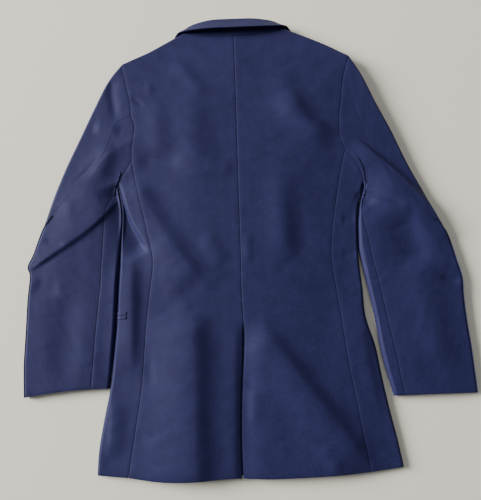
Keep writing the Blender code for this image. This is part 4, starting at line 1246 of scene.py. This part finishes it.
class JacketColours(bpy.types.PropertyGroup):
    cloth_dark: colour("Cloth, dark yarn", "Darkest tone of the navy cloth", 0.0108, 0.0116, 0.051)
    cloth_light: colour("Cloth, light yarn", "Lightest tone of the navy cloth", 0.0275, 0.0280, 0.108)
    button: colour("Buttons", "Colour of the front buttons", 0.010, 0.013, 0.034)
    floor: colour("Floor", "Colour of the plain floor", 0.97, 0.91, 0.75)


# Operators


class JACKET_OT_fronts(bpy.types.Operator):
    """Add the two fronts, face down under the jacket"""

    bl_idname = "jacket.fronts"
    bl_label = "Fronts"

    def execute(self, context):
        wall = context.scene.jacket_sizes.cloth_wall / MM
        sheet_pair("front", front_points, downward, wall)
        return {"FINISHED"}


class JACKET_OT_sides(bpy.types.Operator):
    """Add the side panels, round the side folds, and the jets of the pockets on them"""

    bl_idname = "jacket.sides"
    bl_label = "Side panels and pockets"

    def execute(self, context):
        wall = context.scene.jacket_sizes.cloth_wall / MM
        for side in (LEFT, RIGHT):
            points = side_points(side)
            below = front_points(side)
            outward = first_up if side is LEFT else downward
            for place in ("upper", "lower"):
                jet = jet_points(side, place == "upper", points, below)
                cloth_piece(f"pocket_{side.name}_{place}", jet, outward, JET_WALL, "jet")
            sheet_piece(f"side_{side.name}", points, first_up, wall)
        return {"FINISHED"}


class JACKET_OT_backs(bpy.types.Operator):
    """Add the two halves of the back"""

    bl_idname = "jacket.backs"
    bl_label = "Back halves"

    def execute(self, context):
        wall = context.scene.jacket_sizes.cloth_wall / MM
        sheet_pair("back", back_points, upward, wall)
        return {"FINISHED"}


class JACKET_OT_sleeves(bpy.types.Operator):
    """Add the two pieces of each sleeve"""

    bl_idname = "jacket.sleeves"
    bl_label = "Sleeves"

    def execute(self, context):
        wall = context.scene.jacket_sizes.cloth_wall / MM
        for side in (LEFT, RIGHT):
            panel, around = sleeve_points(side)
            below = sheet_piece(f"sleeve_top_{side.name}", around, middle_down, wall)
            sheet_piece(f"sleeve_under_{side.name}", panel, upward, wall)
        return {"FINISHED"}


class JACKET_OT_lapels(bpy.types.Operator):
    """Add the turned lapels, flat under the fronts"""

    bl_idname = "jacket.lapels"
    bl_label = "Lapels"

    def execute(self, context):
        sheet_pair("lapel", lapel_points, downward, LAPEL_THICKNESS)
        return {"FINISHED"}


class JACKET_OT_collar(bpy.types.Operator):
    """Add the collar, one folded band round the neck"""

    bl_idname = "jacket.collar"
    bl_label = "Collar"

    def execute(self, context):
        sheet_piece("collar", collar_points(), upward, COLLAR_WALL, offset=0)
        return {"FINISHED"}


class JACKET_OT_underlap(bpy.types.Operator):
    """Add the strip behind the vent"""

    bl_idname = "jacket.underlap"
    bl_label = "Vent underlap"

    def execute(self, context):
        sheet_piece("vent_underlap", underlap_points(), upward, UNDERLAP_WALL)
        return {"FINISHED"}


class JACKET_OT_buttons(bpy.types.Operator):
    """Add the three fastened buttons under the overlapped fronts"""

    bl_idname = "jacket.buttons"
    bl_label = "Buttons"

    def execute(self, context):
        sizes = context.scene.jacket_sizes
        radius, depth = sizes.button_radius, sizes.button_thickness
        material = material_named("dark_button", button_material)
        dish = BUTTON_DISH_DEPTH * MM
        away = BUTTON_HOLE_AWAY * MM
        for name, y in BUTTONS:
            x = (FRONT_CENTRE_X - CENTRE[0]) * MM
            y = (y - CENTRE[1]) * MM
            piece = self.disc(radius, depth, (x, y, depth / 2), BUTTON_SIDES)
            apply_modifier(piece, "BEVEL", width=BUTTON_EDGE * MM, segments=4, limit_method="ANGLE")
            self.cut(piece, self.disc(BUTTON_DISH_RADIUS * MM, 2 * dish, (x, y, 0), BUTTON_DISH_SIDES))
            for hole in range(BUTTON_HOLES):
                angle = (hole + 0.5) * 2 * math.pi / BUTTON_HOLES
                place = (x + away * math.cos(angle), y + away * math.sin(angle), depth / 2)
                self.cut(piece, self.disc(BUTTON_HOLE_RADIUS * MM, 2 * depth, place, BUTTON_HOLE_SIDES))
            select_only(piece)
            bpy.ops.object.transform_apply(location=True, rotation=True, scale=True)
            bpy.ops.object.shade_smooth_by_angle(angle=math.radians(BUTTON_SMOOTH_ANGLE))
            piece.name = f"{name}_disc"
            piece.data.name = piece.name
            finish(piece, material, name)
        return {"FINISHED"}

    def disc(self, radius, depth, place, sides):
        bpy.ops.object.select_all(action="DESELECT")
        bpy.ops.mesh.primitive_cylinder_add(vertices=sides, radius=radius, depth=depth, location=place)
        return bpy.context.object

    def cut(self, piece, cutter):
        apply_modifier(piece, "BOOLEAN", operation="DIFFERENCE", object=cutter, solver="EXACT")
        bpy.data.objects.remove(cutter, do_unlink=True)


class JACKET_OT_stage(bpy.types.Operator):
    """Add the floor, the soft lights and the camera"""

    bl_idname = "jacket.stage"
    bl_label = "Stage"

    def execute(self, context):
        bpy.ops.object.select_all(action="DESELECT")
        bpy.ops.mesh.primitive_plane_add(size=FLOOR_SIZE)
        floor = context.object
        floor.name = "floor"
        graph = Graph("plain_floor")
        floor_colour = tuple(context.scene.jacket_colours.floor)
        graph.shade(Base_Color=floor_colour, Roughness=FLOOR_ROUGHNESS)
        floor.data.materials.append(graph.material)
        for name, x, y, z, size, power in LAMPS:
            bpy.ops.object.light_add(type="AREA", location=(x, y, z))
            lamp = context.object
            lamp.name = name
            lamp.data.shape = "DISK"
            lamp.data.size = size
            lamp.data.energy = power
            lamp.rotation_euler = (-lamp.location).to_track_quat("-Z", "Y").to_euler()
        world = bpy.data.worlds.new("soft_room")
        world.use_nodes = True
        backdrop = world.node_tree.nodes["Background"]
        backdrop.inputs["Color"].default_value = ROOM_COLOUR
        backdrop.inputs["Strength"].default_value = ROOM_LIGHT
        context.scene.world = world
        turn = [math.radians(angle) for angle in CAMERA_TURN]
        bpy.ops.object.camera_add(location=CAMERA_PLACE, rotation=turn)
        camera = context.object
        camera.name = "photo_camera"
        camera.data.lens = CAMERA_LENS
        context.scene.camera = camera
        return {"FINISHED"}


class JACKET_PT_panel(bpy.types.Panel):
    """The jacket's pieces in the sidebar"""

    bl_idname = "JACKET_PT_panel"
    bl_label = "Uniform jacket"
    bl_space_type = "VIEW_3D"
    bl_region_type = "UI"
    bl_category = "Jacket"

    def draw(self, context):
        for operator in OPERATORS:
            self.layout.operator(operator.bl_idname)
        for group in (context.scene.jacket_sizes, context.scene.jacket_colours):
            for key in group.__annotations__:
                self.layout.prop(group, key)


OPERATORS = (
    JACKET_OT_fronts,
    JACKET_OT_lapels,
    JACKET_OT_sides,
    JACKET_OT_sleeves,
    JACKET_OT_underlap,
    JACKET_OT_backs,
    JACKET_OT_collar,
    JACKET_OT_buttons,
    JACKET_OT_stage,
)
CLASSES = (JacketSizes, JacketColours, *OPERATORS, JACKET_PT_panel)


def register():
    for item in CLASSES:
        bpy.utils.register_class(item)
    bpy.types.Scene.jacket_sizes = bpy.props.PointerProperty(type=JacketSizes)
    bpy.types.Scene.jacket_colours = bpy.props.PointerProperty(type=JacketColours)


def unregister():
    del bpy.types.Scene.jacket_sizes
    del bpy.types.Scene.jacket_colours
    for item in reversed(CLASSES):
        bpy.utils.unregister_class(item)


def main():
    register()
    bpy.ops.jacket.fronts()
    bpy.ops.jacket.lapels()
    bpy.ops.jacket.sides()
    bpy.ops.jacket.sleeves()
    bpy.ops.jacket.underlap()
    bpy.ops.jacket.backs()
    bpy.ops.jacket.collar()
    bpy.ops.jacket.buttons()
    bpy.ops.jacket.stage()


if __name__ == "__main__":
    main()
